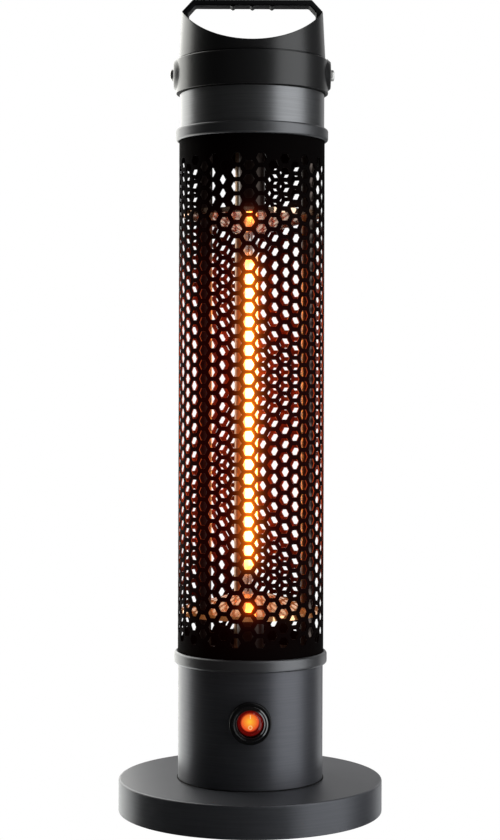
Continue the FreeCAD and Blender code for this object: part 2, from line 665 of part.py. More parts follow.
def saddle(radius, bore, thickness, side, z):
    """Rubber ring whose back lies on the column and whose front is flat."""
    ring = facing(tube(radius, bore, 0, BODY_RADIUS + thickness), side, z)
    return ring.cut(disc(BODY_RADIUS, z - 2 * radius, z + 2 * radius))


def switch_pieces():
    """Round rocker switch under a clear cap in the front of the column."""
    flange = BODY_RADIUS + GASKET_THICKNESS
    front = flange + SWITCH_FLANGE
    cap = front + BOOT_SHEET
    back = front - SWITCH_BARREL_LENGTH
    pivot = flange - ROCKER_DROP
    opening = SWITCH_BARREL_RADIUS - SWITCH_BARREL_WALL
    body = turned([
        (0, back, 0), (SWITCH_BARREL_RADIUS, back, 0), (SWITCH_BARREL_RADIUS, flange, 0), (SWITCH_FLANGE_RADIUS, flange, 0),
        (SWITCH_FLANGE_RADIUS, front, 0), (opening, front, 0), (opening, pivot - SWITCH_POCKET, 0), (0, pivot - SWITCH_POCKET, 0)])

    def trunnion(radius, span):
        return Part.makeCylinder(radius, 2 * span, V(-span, 0, pivot), V(1, 0, 0))

    body = body.cut(trunnion(TRUNNION_RADIUS + RUNNING_FIT, TRUNNION_SPAN + FIT))
    side = [
        (-ROCKER_RADIUS, pivot + ROCKER_FACE), (0, pivot + ROCKER_FACE - ROCKER_DIP), (ROCKER_RADIUS, pivot + ROCKER_FACE),
        (ROCKER_RADIUS, pivot - ROCKER_BACK), (0, pivot - ROCKER_KEEL), (-ROCKER_RADIUS, pivot - ROCKER_BACK)]
    profile = [V(-ROCKER_RADIUS, y, z) for y, z in side]
    rocker = Part.Face(Part.makePolygon(profile + profile[:1])).extrude(V(2 * ROCKER_RADIUS, 0, 0))
    rocker = rocker.common(disc(ROCKER_RADIUS, pivot - ROCKER_KEEL, pivot + ROCKER_FACE))
    rocker = rocker.fuse(trunnion(TRUNNION_RADIUS, TRUNNION_SPAN)).removeSplitter()
    rocker.rotate(V(0, 0, pivot), V(1, 0, 0), -ROCKER_TRAVEL / 2)
    dome_radius = (BOOT_RADIUS ** 2 + BOOT_RISE ** 2) / (2 * BOOT_RISE)
    dome_centre = V(0, 0, cap + BOOT_RISE - dome_radius)
    dome = Part.makeSphere(dome_radius, dome_centre).cut(Part.makeSphere(dome_radius - BOOT_SHEET, dome_centre))
    dome = dome.common(disc(BOOT_FLANGE_RADIUS, front, cap + BOOT_RISE))
    rim = sqrt((dome_radius - BOOT_SHEET) ** 2 - (front - dome_centre.z) ** 2)
    boot = dome.fuse(tube(BOOT_FLANGE_RADIUS, rim, front, cap).cut(Part.makeSphere(dome_radius - BOOT_SHEET, dome_centre)))
    bezel = turned([
        (BEZEL_BORE, cap, 0), (BEZEL_RADIUS, cap, 0), (BEZEL_RADIUS, cap + BEZEL_HEIGHT, BEZEL_EDGE),
        (BEZEL_BORE, cap + BEZEL_HEIGHT, BEZEL_EDGE)])
    seat = seat_depth(SWITCH_NUT_RADIUS)
    nut = tube(SWITCH_NUT_RADIUS, SWITCH_BARREL_RADIUS + RUNNING_FIT, seat - SWITCH_NUT, seat)
    blades = []
    for x in (-BLADE_PITCH / 2, BLADE_PITCH / 2):
        blades.append(block(
            x - BLADE_THICKNESS / 2, x + BLADE_THICKNESS / 2, -BLADE_WIDTH / 2, BLADE_WIDTH / 2, back - BLADE_LENGTH, back))
    pieces = {
        "switch_body": body, "switch_rocker": rocker, "switch_boot": boot.removeSplitter(), "switch_bezel": bezel,
        "switch_nut": nut, "switch_blades": Part.makeCompound(blades)}
    pieces = {name: facing(shape, "front", SWITCH_Z) for name, shape in pieces.items()}
    bore = SWITCH_BARREL_RADIUS + FIT
    pieces["switch_gasket"] = saddle(GASKET_RADIUS, bore, GASKET_THICKNESS, "front", SWITCH_Z)
    starts = [V(x, BLADE_LENGTH - back, SWITCH_Z) for x in (-BLADE_PITCH / 2, BLADE_PITCH / 2)]
    row = BLOCK_Y - BLOCK_ROW
    wires = []
    for start in starts:
        turn = start + V(0, SWITCH_WIRE_RUN, 0)
        low = turn - V(0, 0, SWITCH_WIRE_DROP)
        far = V(start.x, row, low.z)
        wires.append(routed([start, turn, low, far, V(start.x, row, BLOCK_TOP)], WIRE_RADIUS, WIRE_BEND))
    pieces["switch_wires"] = Part.makeCompound(wires)
    return pieces


def gland_pieces():
    """Cable gland in the back of the column."""
    foot = BODY_RADIUS + GLAND_SEAL
    tip = foot + GLAND_BARREL_OUTSIDE
    back = BODY_RADIUS - GLAND_BARREL_INSIDE
    body = disc(GLAND_BARREL_RADIUS, back, tip).fuse(hexagon(GLAND_FLATS, foot, foot + GLAND_FLANGE))
    cap = turned([
        (GLAND_BARREL_RADIUS + RUNNING_FIT, foot + GLAND_FLANGE, 0), (GLAND_CAP_RADIUS, foot + GLAND_FLANGE, 0),
        (GLAND_CAP_RADIUS, tip, 2), (GLAND_BARREL_RADIUS + RUNNING_FIT, tip, 0)])
    seat = seat_depth(GLAND_FLATS / sqrt(3))
    nut = hexagon(GLAND_FLATS, seat - GLAND_NUT, seat).cut(disc(GLAND_BARREL_RADIUS + RUNNING_FIT, 0, seat))
    pieces = {"gland_body": body.cut(disc(GLAND_BORE, back, tip)), "gland_cap": cap, "gland_nut": nut}
    pieces = {name: facing(shape, "back", GLAND_Z) for name, shape in pieces.items()}
    bore = GLAND_BARREL_RADIUS + FIT
    pieces["gland_seal"] = saddle(GLAND_SEAL_RADIUS, bore, GLAND_SEAL, "back", GLAND_Z)
    return pieces


def tilt_pieces():
    """Tilt switch: a weight that hangs on a pin in a bracket on the base."""
    half = TILT_GAP / 2
    outer = half + TILT_SHEET
    top = TILT_Z + TILT_HEAD
    left = TILT_X - TILT_WIDTH / 2
    right = TILT_X + TILT_WIDTH / 2

    def pin(radius, reach):
        return Part.makeCylinder(radius, 2 * reach, V(TILT_X, TILT_Y - reach, TILT_Z), V(0, 1, 0))

    foot = block(
        TILT_X - TILT_FOOT_LENGTH / 2, TILT_X + TILT_FOOT_LENGTH / 2, TILT_Y - outer, TILT_Y + outer,
        BASE_TOP, BASE_TOP + TILT_SHEET)
    front = block(left, right, TILT_Y - outer, TILT_Y - half, BASE_TOP, top)
    rear = block(left, right, TILT_Y + half, TILT_Y + outer, BASE_TOP, top)
    bracket = foot.fuse([front, rear]).removeSplitter().cut(pin(TILT_PIN_RADIUS + RUNNING_FIT, outer))
    arm = block(
        TILT_X - ARM_WIDTH / 2, TILT_X + ARM_WIDTH / 2, TILT_Y - ARM_THICKNESS / 2, TILT_Y + ARM_THICKNESS / 2,
        TILT_Z - ARM_LENGTH, TILT_Z)
    eye = Part.makeCylinder(ARM_WIDTH / 2, ARM_THICKNESS, V(TILT_X, TILT_Y - ARM_THICKNESS / 2, TILT_Z), V(0, 1, 0))
    bob = Part.makeCylinder(
        BOB_RADIUS, BOB_THICKNESS, V(TILT_X, TILT_Y - BOB_THICKNESS / 2, TILT_Z - ARM_LENGTH), V(0, 1, 0))
    pendulum = arm.fuse([eye, bob]).removeSplitter().cut(pin(TILT_PIN_RADIUS + RUNNING_FIT, half))
    sensor_top = top - MICROSWITCH_DROP
    sensor = block(
        TILT_X - MICROSWITCH_LENGTH / 2, TILT_X + MICROSWITCH_LENGTH / 2, TILT_Y - outer - MICROSWITCH_THICKNESS,
        TILT_Y - outer, sensor_top - MICROSWITCH_HEIGHT, sensor_top)
    return {"tilt_bracket": bracket, "tilt_pin": pin(TILT_PIN_RADIUS, outer), "tilt_pendulum": pendulum, "tilt_sensor": sensor}


def wiring_pieces():
    """Terminal block on the base and the two wires that come down from the lamp."""
    half = BLOCK_LENGTH / 2
    terminal = block(-half, half, BLOCK_Y - BLOCK_DEPTH / 2, BLOCK_Y + BLOCK_DEPTH / 2, BASE_TOP, BLOCK_TOP)
    x, y = upper_wire_place()
    crown = UPPER_DECK_TOP + UPPER_WIRE_RISE
    top = UPPER_CAP_Z + CAP_LENGTH
    upper = routed([V(0, 0, top), V(0, 0, crown), V(x, y, crown), V(x, y, BLOCK_TOP)], WIRE_RADIUS, WIRE_BEND)
    row = BLOCK_Y + BLOCK_ROW
    level = COLUMN_TOP - LOWER_WIRE_DROP
    start = LOWER_CAP_Z - CAP_LENGTH
    lower = routed([V(0, 0, start), V(0, 0, level), V(0, row, level), V(0, row, BLOCK_TOP)], WIRE_RADIUS, WIRE_BEND)
    return {"terminal_block": terminal, "upper_lamp_wire": upper, "lower_lamp_wire": lower}


def main():
    """Build every piece and write it as its own file."""
    pieces = {}
    builders = (
        base_pieces, column_pieces, guard_piece, post_pieces, lamp_pieces, handle_pieces, switch_pieces, gland_pieces,
        tilt_pieces, wiring_pieces)
    for build in builders:
        pieces.update(build())
    os.makedirs("parts", exist_ok=True)
    for name, shape in pieces.items():
        shape.exportStep("parts/" + name + ".step")
        print(name, len(shape.Solids), round(shape.Volume), shape.isValid())


main()
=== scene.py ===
"""Looks of an infrared patio heater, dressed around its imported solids.

Shapes are worked out in millimetres, standing on z = 0 with the axis on z and the switch facing -y. They become
metres when a mesh is made. Angles around the axis are measured from the front towards +x.
"""

import logging
import math
from collections.abc import Sequence
from dataclasses import dataclass, field
from enum import Enum
from typing import Union

import bpy
import numpy as np
from mathutils import Matrix, Vector


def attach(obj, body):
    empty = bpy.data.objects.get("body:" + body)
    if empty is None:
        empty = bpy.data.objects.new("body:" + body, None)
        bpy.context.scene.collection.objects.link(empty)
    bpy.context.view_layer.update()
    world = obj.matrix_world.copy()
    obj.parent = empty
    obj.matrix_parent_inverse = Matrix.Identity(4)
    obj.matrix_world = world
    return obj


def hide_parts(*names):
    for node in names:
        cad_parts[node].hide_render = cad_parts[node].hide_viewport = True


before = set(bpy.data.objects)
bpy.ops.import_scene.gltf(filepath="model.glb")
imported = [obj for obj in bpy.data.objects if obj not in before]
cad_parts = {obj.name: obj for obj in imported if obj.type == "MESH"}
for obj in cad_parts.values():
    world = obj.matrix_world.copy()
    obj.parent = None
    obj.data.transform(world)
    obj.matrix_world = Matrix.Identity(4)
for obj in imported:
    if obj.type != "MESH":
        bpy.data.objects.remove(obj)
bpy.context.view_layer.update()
LOG = logging.getLogger("heater")
Pair = tuple[float, float]
Triple = tuple[float, float, float]
Colour = Triple
MM = 0.001
WELD_DIGITS = 4
CREASE = math.radians(38.0)
EVEN: Triple = (1.0, 1.0, 1.0)
BLACK: Colour = (0.0, 0.0, 0.0)
WHITE: Colour = (1.0, 1.0, 1.0)


class Side(Enum):
    """Side of the heater that a fitting points out of."""

    FRONT = "front"
    BACK = "back"
    LEFT = "left"
    RIGHT = "right"

    def place(self, points: np.ndarray, height: float) -> np.ndarray:
        """Turn points built up along z so that they point out of this side at a height.

        Args:
            points: Array whose last axis is (across, up, out).
            height: Level of the fitting's own axis.

        Returns:
            Array of the same shape in the heater's frame.
        """
        a, b, out = np.moveaxis(points, -1, 0)
        placed = {
            Side.FRONT: (a, -out, b),
            Side.BACK: (a, out, -b),
            Side.LEFT: (-out, b, a),
            Side.RIGHT: (out, b, -a),
        }[self]
        return np.stack(placed, axis=-1) + np.array([0.0, 0.0, height])


def rounded(corners: Sequence[Triple], steps: int = 5) -> np.ndarray:
    """Closed outline with an arc in each rounded corner.

    In a corner of half-angle h the arc of radius r starts r / tan(h) before the corner, and its centre lies on the
    bisector at r / sin(h). One more point a little outside each arc end keeps the flats flat under smooth shading.

    Args:
        corners: (u, v, radius) of each corner in order.
        steps: Spans in each arc.

    Returns:
        Array of (u, v) points.
    """
    straight, lead_share, room_share = 1.55, 0.3, 0.2
    spots = np.array([corner[:2] for corner in corners], dtype=float)
    share = np.linspace(0.0, 1.0, steps + 1)[:, None]
    line = []
    for k, (_, _, radius) in enumerate(corners):
        here = spots[k]
        back, ahead = spots[k - 1] - here, spots[(k + 1) % len(spots)] - here
        rooms = np.linalg.norm(back), np.linalg.norm(ahead)
        back, ahead = back / rooms[0], ahead / rooms[1]
        half = math.acos(float(np.clip(back @ ahead, -1.0, 1.0))) / 2
        if radius <= 0 or half > straight:
            line.append(here[None])
            continue
        reach, sweep = radius / math.tan(half), math.pi - 2 * half
        bisector = (back + ahead) / np.linalg.norm(back + ahead)
        centre = here + bisector * radius / math.sin(half)
        first, last = here + back * reach - centre, here + ahead * reach - centre
        arc = (np.sin((1 - share) * sweep) * first + np.sin(share * sweep) * last) / math.sin(sweep)
        lead, trail = (max(0.0, min(lead_share * radius, room_share * (room - reach))) for room in rooms)
        line += [(here + back * (reach + lead))[None], centre + arc, (here + ahead * (reach + trail))[None]]
    return np.concatenate(line)


def block(across: Pair, levels: Pair, rounds: Sequence[float], steps: int = 3) -> np.ndarray:
    """Outline of a rectangle with its own round in each corner, anticlockwise from the low inner one."""
    corners = [(across[0], levels[0]), (across[1], levels[0]), (across[1], levels[1]), (across[0], levels[1])]
    return rounded([(*corner, radius) for corner, radius in zip(corners, rounds)], steps)


def around(count: int) -> np.ndarray:
    """Angles of even steps round a full turn."""
    return np.arange(count) * 2 * math.pi / count


def hexagon(turn: np.ndarray) -> np.ndarray:
    """Reach of a hexagon at each angle: 1 over the cosine within each sixth of a turn, so 1 on its flats."""
    return 1 / np.cos(np.mod(turn, math.pi / 3) - math.pi / 6)


def turned(outline: np.ndarray, segments: int = 96, at: Pair = (0.0, 0.0)) -> np.ndarray:
    """Surface of revolution: each outline point (r, z) is carried round the axis as (r sin t, -r cos t, z).

    Args:
        outline: Array of (radius, z) points.
        segments: Spans around the axis.
        at: Place of the axis.

    Returns:
        Grid of points, outline by angle.
    """
    turn = around(segments)
    radius, level = outline[:, :1], outline[:, 1:]
    return np.stack([
        at[0] + radius * np.sin(turn), at[1] - radius * np.cos(turn), level + 0 * turn], axis=-1)


def capped(body: np.ndarray) -> np.ndarray:
    """Grid of closed rows with a pole added in the middle of its first row and of its last one."""
    poles = np.broadcast_to(body.mean(axis=1, keepdims=True), body.shape)
    return np.concatenate([poles[:1], body, poles[-1:]])


def shown(name: str, data: bpy.types.ID) -> bpy.types.Object:
    """Put a new object into the scene.

    Args:
        name: Name of the object.
        data: Its mesh, light or camera.

    Returns:
        The object, at the origin.
    """
    made = bpy.data.objects.new(name, data)
    bpy.context.scene.collection.objects.link(made)
    return made


class Skin:
    """Closed surfaces in millimetres that become one mesh.

    A surface is a grid of points whose neighbours are joined by four-sided faces. Points that fall together are
    welded, so seams and poles close, and a surface whose signed volume is negative is turned inside out.
    """

    def __init__(self) -> None:
        """Start with no surface."""
        self.points: list[np.ndarray] = []
        self.faces: list[np.ndarray] = []
        self.total = 0

    def add(self, points: np.ndarray, faces: np.ndarray) -> "Skin":
        """Take in one closed surface.

        Args:
            points: Array whose last axis is (x, y, z).
            faces: Array of four point numbers for each face.

        Returns:
            This skin.
        """
        spots = points.reshape(-1, 3)
        a, b, c, d = np.moveaxis(spots[faces], 1, 0)
        volume = (a * (np.cross(b, c) + np.cross(c, d))).sum()
        self.faces.append((faces if volume > 0 else faces[:, ::-1]) + self.total)
        self.points.append(spots)
        self.total += len(spots)
        return self

    def grid(self, points: np.ndarray, loop_rows: bool = False) -> "Skin":
        """Take in a grid of points whose last column joins the first.

        Args:
            points: Grid, row by column.
            loop_rows: Whether the last row joins the first too.

        Returns:
            This skin.
        """
        number = np.arange(points.shape[0] * points.shape[1]).reshape(points.shape[:2])
        number = np.pad(number, ((0, int(loop_rows)), (0, 1)), mode="wrap")
        corners = [number[:-1, :-1], number[1:, :-1], number[1:, 1:], number[:-1, 1:]]
        return self.add(points, np.stack(corners, axis=-1).reshape(-1, 4))

    def ring(self, outline: np.ndarray, segments: int = 200, at: Pair = (0.0, 0.0)) -> "Skin":
        """Take in a body turned about an upright axis from a closed outline."""
        return self.grid(turned(outline, segments, at), loop_rows=True)

    def fitting(self, body: np.ndarray, side: Side, height: float) -> "Skin":
        """Take in a body turned from a closed outline, pointed out of a side."""
        return self.grid(side.place(body, height), loop_rows=True)

    def piece(self, name: str) -> bpy.types.Object:
        """Make the mesh object.

        Args:
            name: Name of the piece.

        Returns:
            The object, at the origin, in metres.
        """
        spots = np.concatenate(self.points)
        kept, number = np.unique(np.round(spots, WELD_DIGITS), axis=0, return_inverse=True)
        faces = number.reshape(-1)[np.concatenate(self.faces)]
        same = faces == np.roll(faces, -1, axis=1)
        doubled = same.sum(axis=1)
        quads = faces[doubled == 0]
        threes = faces[doubled == 1][~same[doubled == 1]].reshape(-1, 3)
        mesh = bpy.data.meshes.new(name)
        mesh.from_pydata((kept * MM).tolist(), [], quads.tolist() + threes.tolist())
        mesh.validate()
        mesh.shade_smooth()
        mesh.set_sharp_from_angle(angle=CREASE)
        return shown(name, mesh)


Term = Union["Value", float, tuple]


@dataclass(frozen=True)
class Value:
    """A socket of a node tree. Sums on it add Math nodes."""

    graph: "Graph"
    socket: bpy.types.NodeSocket

    def maths(self, operation: str, *terms: Term) -> "Value":
        """Result of a Math node on some terms."""
        return self.graph.node("ShaderNodeMath", {"operation": operation}, dict(enumerate(terms)))

    def __add__(self, other: Term) -> "Value":
        """This plus another."""
        return self.maths("ADD", self, other)

    def __radd__(self, other: Term) -> "Value":
        """Another plus this."""
        return self.maths("ADD", other, self)

    def __sub__(self, other: Term) -> "Value":
        """This less another."""
        return self.maths("SUBTRACT", self, other)

    def __rsub__(self, other: Term) -> "Value":
        """Another less this."""
        return self.maths("SUBTRACT", other, self)

    def __mul__(self, other: Term) -> "Value":
        """This times another."""
        return self.maths("MULTIPLY", self, other)

    def __rmul__(self, other: Term) -> "Value":
        """Another times this."""
        return self.maths("MULTIPLY", other, self)

    def __truediv__(self, other: Term) -> "Value":
        """This over another."""
        return self.maths("DIVIDE", self, other)

    def __pow__(self, power: Term) -> "Value":
        """This to a power."""
        return self.maths("POWER", self, power)

    def ramp(self, low: float, high: float) -> "Value":
        """Smooth step from 0 at a low value to 1 at a high one."""
        return self.graph.node(
            "ShaderNodeMapRange", {"interpolation_type": "SMOOTHSTEP"},
            {"Value": self, "From Min": low, "From Max": high})

    def band(self, start: float, full: float, fade: float, stop: float) -> "Value":
        """Smooth band: up from 0 to 1 between a start and where it is full, and down between a fade and a stop."""
        return self.ramp(start, full) * (1 - self.ramp(fade, stop))


class Graph:
    """Node tree of a material, of the world or of the finished picture."""

    def __init__(self, owner: Union[bpy.types.Material, bpy.types.World, bpy.types.Scene]) -> None:
        """Start a tree with no nodes.

        Args:
            owner: What the tree belongs to.
        """
        owner.use_nodes = True
        self.tree = owner.node_tree
        self.tree.nodes.clear()

    def node(self, kind: str, settings: dict, inputs: dict, output: Union[int, str] = 0) -> Value:
        """Add a node.

        Args:
            kind: Node type.
            settings: Properties, set first. A ramp's stops are (place, colour) pairs under "stops".
            inputs: Values or links of its sockets by name or number.
            output: Which output to hand on.

        Returns:
            That output as a value.
        """
        made = self.tree.nodes.new(kind)
        for name, setting in settings.items():
            if name != "stops":
                setattr(made, name, setting)
                continue
            for k, (place, colour) in enumerate(setting):
                stops = made.color_ramp.elements
                stop = stops[k] if k < 2 else stops.new(place)
                stop.position, stop.color = place, (*colour, 1.0)
        for name, term in inputs.items():
            if isinstance(term, Value):
                self.tree.links.new(term.socket, made.inputs[name])
            else:
                made.inputs[name].default_value = term
        return Value(self, made.outputs[output])

    def end(self, value: Value, kind: str = "ShaderNodeOutputMaterial") -> None:
        """End the tree in an output node."""
        self.tree.links.new(value.socket, self.tree.nodes.new(kind).inputs[0])

    def spot(self, axis: str = "") -> Value:
        """Object coordinates, or one of them."""
        place = self.node("ShaderNodeTexCoord", {}, {}, "Object")
        return self.node("ShaderNodeSeparateXYZ", {}, {0: place}, axis) if axis else place

    def reach(self, axes: str, centre: Pair = (0.0, 0.0)) -> Value:
        """Distance from a line, by the root of the squares across two axes."""
        first, second = (self.spot(axis) - middle for axis, middle in zip(axes, centre))
        return (first * first + second * second) ** 0.5

    def noise(self, scale: float, detail: float = 3.0, stretch: Triple = EVEN) -> Value:
        """Noise over the surface, drawn out by a stretch along each axis."""
        place = self.node("ShaderNodeMapping", {}, {"Vector": self.spot(), "Scale": stretch})
        return self.node("ShaderNodeTexNoise", {}, {"Vector": place, "Scale": scale, "Detail": detail})

    def blend(self, share: Term, low: Colour, high: Colour) -> Value:
        """Colour between two, by a share."""
        return self.node(
            "ShaderNodeMix", {"data_type": "RGBA"}, {0: share, 6: (*low, 1.0), 7: (*high, 1.0)}, 2)

    def bump(self, height: Value, strength: float, depth: float = 0.0004) -> Value:
        """Normal of a surface raised by a height."""
        return self.node("ShaderNodeBump", {}, {"Height": height, "Strength": strength, "Distance": depth})

    def surface(self, sockets: dict[str, Term]) -> Value:
        """Principled surface with these inputs."""
        return self.node("ShaderNodeBsdfPrincipled", {}, sockets)


def scaled(colour: Colour, share: float) -> Colour:
    """Colour times a number."""
    return tuple(min(1.0, part * share) for part in colour)


@dataclass(frozen=True)
class Finish:
    """Finish of a piece. A kind of finish says what feeds its surface."""

    name: str

    def material(self) -> bpy.types.Material:
        """Make the material where it isn't there yet.

        Returns:
            The material of this name.
        """
        made = bpy.data.materials.get(self.name)
        if made is None:
            made = bpy.data.materials.new(self.name)
            graph = Graph(made)
            graph.end(graph.surface(self.sockets(graph)))
        return made

    def sockets(self, graph: Graph) -> dict[str, Term]:
        """Inputs of the surface, fed by nodes added to a graph."""
        raise NotImplementedError


@dataclass(frozen=True)
class Coat(Finish):
    """Paint, plastic, rubber or metal with mottling, a fine grain and brush lines of a stretch."""

    colour: Colour = (0.05, 0.05, 0.05)
    metallic: float = 0.0
    roughness: float = 0.4
    uneven: float = 0.08
    mottling: float = 0.12
    cloud: float = 28.0
    grain: float = 1500.0
    depth: float = 0.12
    stretch: Triple = EVEN
    streaks: float = 0.0
    streak_edge: Pair = (0.36, 0.64)
    specular: float = 0.5
    coat: float = 0.0
    coat_roughness: float = 0.15

    def sockets(self, graph: Graph) -> dict[str, Term]:
        """Mottled and streaked colour, uneven gloss, and a bump from the same grain.

        Args:
            graph: Nodes to fill.

        Returns:
            Inputs of the surface.
        """
        grain = graph.noise(self.grain, stretch=self.stretch)
        cloud = graph.noise(self.cloud, 4.0)
        tone = cloud * (1 - self.streaks) + grain.ramp(*self.streak_edge) * self.streaks
        gloss = grain * self.uneven + cloud * (self.uneven / 2) + (self.roughness - 0.75 * self.uneven)
        return {
            "Base Color": graph.blend(
                tone, scaled(self.colour, 1 - self.mottling), scaled(self.colour, 1 + self.mottling)),
            "Roughness": gloss, "Metallic": self.metallic, "Specular IOR Level": self.specular,
            "Coat Weight": self.coat, "Coat Roughness": self.coat_roughness,
            "Normal": graph.bump(grain, self.depth)}


@dataclass(frozen=True)
class StovePaint(Finish):
    """Matt black paint outside, with painted lamp light inside: a dull red brown about the lamp's height, and glowing
    hole edges.
    """

    outside: Colour = (0.0016, 0.0013, 0.0013)
    # inside: red brown of the inner faces about the lamp's height, painted lamp light
    inside: Colour = (0.075, 0.012, 0.008)
    # lit: colour of the painted glow on the hole edges
    lit: Colour = (0.58, 0.07, 0.014)
    edge: Pair = (0.0575, 0.0578)
    face: Pair = (0.0578, 0.0583)
    hot_zone: Pair = (0.17, 0.47)
    lit_fade: float = 0.09
    painted_lamp_light_fade: Pair = (0.02, 0.05)
    roughness: Pair = (0.36, 0.5)
    metallic: float = 0.45
    specular: float = 0.03
    grain: float = 1700.0
    depth: float = 0.15

    def sockets(self, graph: Graph) -> dict[str, Term]:
        """The distance from the axis parts the outer face, the hole edges with their painted glow, and the inner
        face.

        The roughness is that of the inner face, and what the outer face adds to it.

        Args:
            graph: Nodes to fill.

        Returns:
            Inputs of the surface.
        """
        reach, level, grain = graph.reach("XY"), graph.spot("Z"), graph.noise(self.grain)
        (low, high), (out, into), (rough, rougher) = self.hot_zone, self.painted_lamp_light_fade, self.roughness
        outer = reach.ramp(*self.face)
        near = level.band(low, low + self.lit_fade, high - self.lit_fade, high)
        # Painted glow: hole edges within the lamp's height band emit the lit colour
        edge = reach.ramp(*self.edge) * (1 - outer) * near
        # Painted lamp light: inner faces about the lamp's height take the red brown inside colour
        painted_lamp_light = level.band(low - out, low + into, high - into, high + out) * (1 - outer)
        return {
            "Base Color": graph.blend(painted_lamp_light * (0.95 + grain * 0.1), self.outside, self.inside),
            "Roughness": outer * rougher + grain * 0.1 + rough, "Metallic": (1 - outer) * self.metallic,
            "Emission Color": graph.blend(edge, BLACK, self.lit), "Emission Strength": 1.0,
            "Specular IOR Level": self.specular, "Normal": graph.bump(grain, self.depth)}


@dataclass(frozen=True)
class SpunSheet(Finish):
    """Bright sheet metal spun on a lathe: rings about the axis, a little stained by heat."""

    colour: Colour = (0.95, 0.66, 0.46)
    stain: Colour = (0.7, 0.4, 0.24)
    stain_edge: Pair = (0.45, 0.8)
    roughness: float = 0.07
    uneven: float = 0.04
    metallic: float = 0.85
    # glow: painted glow, emission that stands in for lamp light falling on the sheet
    glow: Colour = BLACK
    ring_scale: float = 900.0
    ring_depth: Pair = (0.03, 0.0003)
    cloud: float = 45.0

    def sockets(self, graph: Graph) -> dict[str, Term]:
        """Noise of the distance from the axis gives the rings.

        Args:
            graph: Nodes to fill.

        Returns:
            Inputs of the surface.
        """
        rings = graph.node(
            "ShaderNodeTexNoise", {"noise_dimensions": "1D"},
            {"W": graph.reach("XY"), "Scale": self.ring_scale, "Detail": 2.0})
        cloud = graph.noise(self.cloud, 4.0)
        return {
            "Base Color": graph.blend(cloud.ramp(*self.stain_edge), self.colour, self.stain),
            "Metallic": self.metallic, "Roughness": rings * self.uneven + (self.roughness - self.uneven / 2),
            # Painted glow: the glow colour is emitted, mottled by the cloud
            "Emission Color": graph.blend(cloud, scaled(self.glow, 0.8), self.glow), "Emission Strength": 1.0,
            "Normal": graph.bump(rings, *self.ring_depth)}


@dataclass(frozen=True)
class Clear(Finish):
    """Clear glass or silicone: almost unseen from straight on, and solid towards its rim.

    Around a lamp's element the glass is full of its light between the two heights of the hot zone.
    """

    colour: Colour = WHITE
    faint: float = 0.06
    rim: float = 0.55
    roughness: float = 0.05
    uneven: float = 0.06
    grain: float = 180.0
    stretch: Triple = (1.0, 1.0, 0.08)
    facing: float = 0.35
    haze: float = 0.0
    glow: Colour = BLACK
    hot_zone: Pair = (0.0, 0.0)
    fade: float = 0.012

    def lit(self, graph: Graph) -> Value:
        """Share of the light that fills it, by height."""
        (low, high), fade = self.hot_zone, self.fade
        return graph.spot("Z").band(low - fade, low + fade, high - fade, high + fade)

    def sockets(self, graph: Graph) -> dict[str, Term]:
        """Opacity grows with the square of how far the surface turns away, with fine streaks.

        Args:
            graph: Nodes to fill.

        Returns:
            Inputs of the surface.
        """
        away = graph.node("ShaderNodeLayerWeight", {}, {"Blend": self.facing}, "Facing")
        streaks = graph.noise(self.grain, stretch=self.stretch)
        lit = self.lit(graph)
        return {
            "Base Color": graph.blend(streaks, scaled(self.colour, 0.9), self.colour),
            "Alpha": away * away * self.rim + streaks * (self.faint / 2) + self.faint * 0.75 + lit * self.haze,
            "Emission Color": graph.blend(lit, BLACK, self.glow), "Emission Strength": 1.0,
            "Roughness": streaks * self.uneven + self.roughness}


@dataclass(frozen=True)
class LitSilicone(Clear):
    """Clear silicone cap with a painted glow: a ring of dim red emission about the button's axis stands for the
    button's light carried out to its foot.
    """

    centre: Pair = (0.0, 0.0815)
    ring: tuple[float, float, float, float] = (0.0066, 0.0080, 0.0095, 0.0106)

    def lit(self, graph: Graph) -> Value:
        """Share of the painted glow that fills it: a ring about the axis of the button."""
        return graph.reach("XZ", self.centre).band(*self.ring)


@dataclass(frozen=True)
class GlowingCarbon(Finish):
    """White-hot carbon, redder towards its ends."""

    ends: Pair = (0.197, 0.440)
    fade: float = 0.02
    hot: Colour = (1.0, 0.3, 0.05)
    cool: Colour = (0.5, 0.08, 0.01)
    char: Colour = (0.02, 0.02, 0.02)
    power: float = 110.0
    weave: float = 420.0

    def sockets(self, graph: Graph) -> dict[str, Term]:
        """Emission colour from the height between the two ends, with a weave of dimmer spots.

        Args:
            graph: Nodes to fill.

        Returns:
            Inputs of the surface.
        """
        low, high = self.ends
        inner = graph.spot("Z").band(low, low + self.fade, high - self.fade, high)
        weave = graph.noise(self.weave, 2.0)
        return {
            "Base Color": (*self.char, 1.0), "Roughness": weave * 0.2 + 0.6,
            "Emission Color": graph.blend(inner * (0.75 + weave * 0.5), self.cool, self.hot),
            "Emission Strength": self.power}


@dataclass(frozen=True)
class LitRocker(Finish):
    """Translucent red plastic with a neon lamp behind its middle."""

    centre: Pair = (-0.0004, 0.0820)
    stops: tuple[tuple[float, Colour], ...] = (
        (0.0, (1.0, 0.6, 0.04)), (0.3, (1.0, 0.34, 0.03)), (0.76, (0.8, 0.07, 0.02)),
        (0.87, (0.1, 0.002, 0.001)), (1.0, (0.03, 0.0006, 0.0004)))
    spread: float = 0.0088
    dark: Colour = (0.12, 0.004, 0.002)
    pale: Colour = (0.2, 0.008, 0.004)
    grain: float = 700.0

    def sockets(self, graph: Graph) -> dict[str, Term]:
        """Emission falls off with the distance from the middle of the face.

        Args:
            graph: Nodes to fill.

        Returns:
            Inputs of the surface.
        """
        share = graph.reach("XZ", self.centre) / self.spread
        grain = graph.noise(self.grain)
        return {
            "Base Color": graph.blend(grain, self.dark, self.pale),
            "Roughness": grain * 0.1 + 0.25, "Emission Strength": 1.0,
            "Emission Color": graph.node("ShaderNodeValToRGB", {"stops": self.stops}, {"Fac": share})}


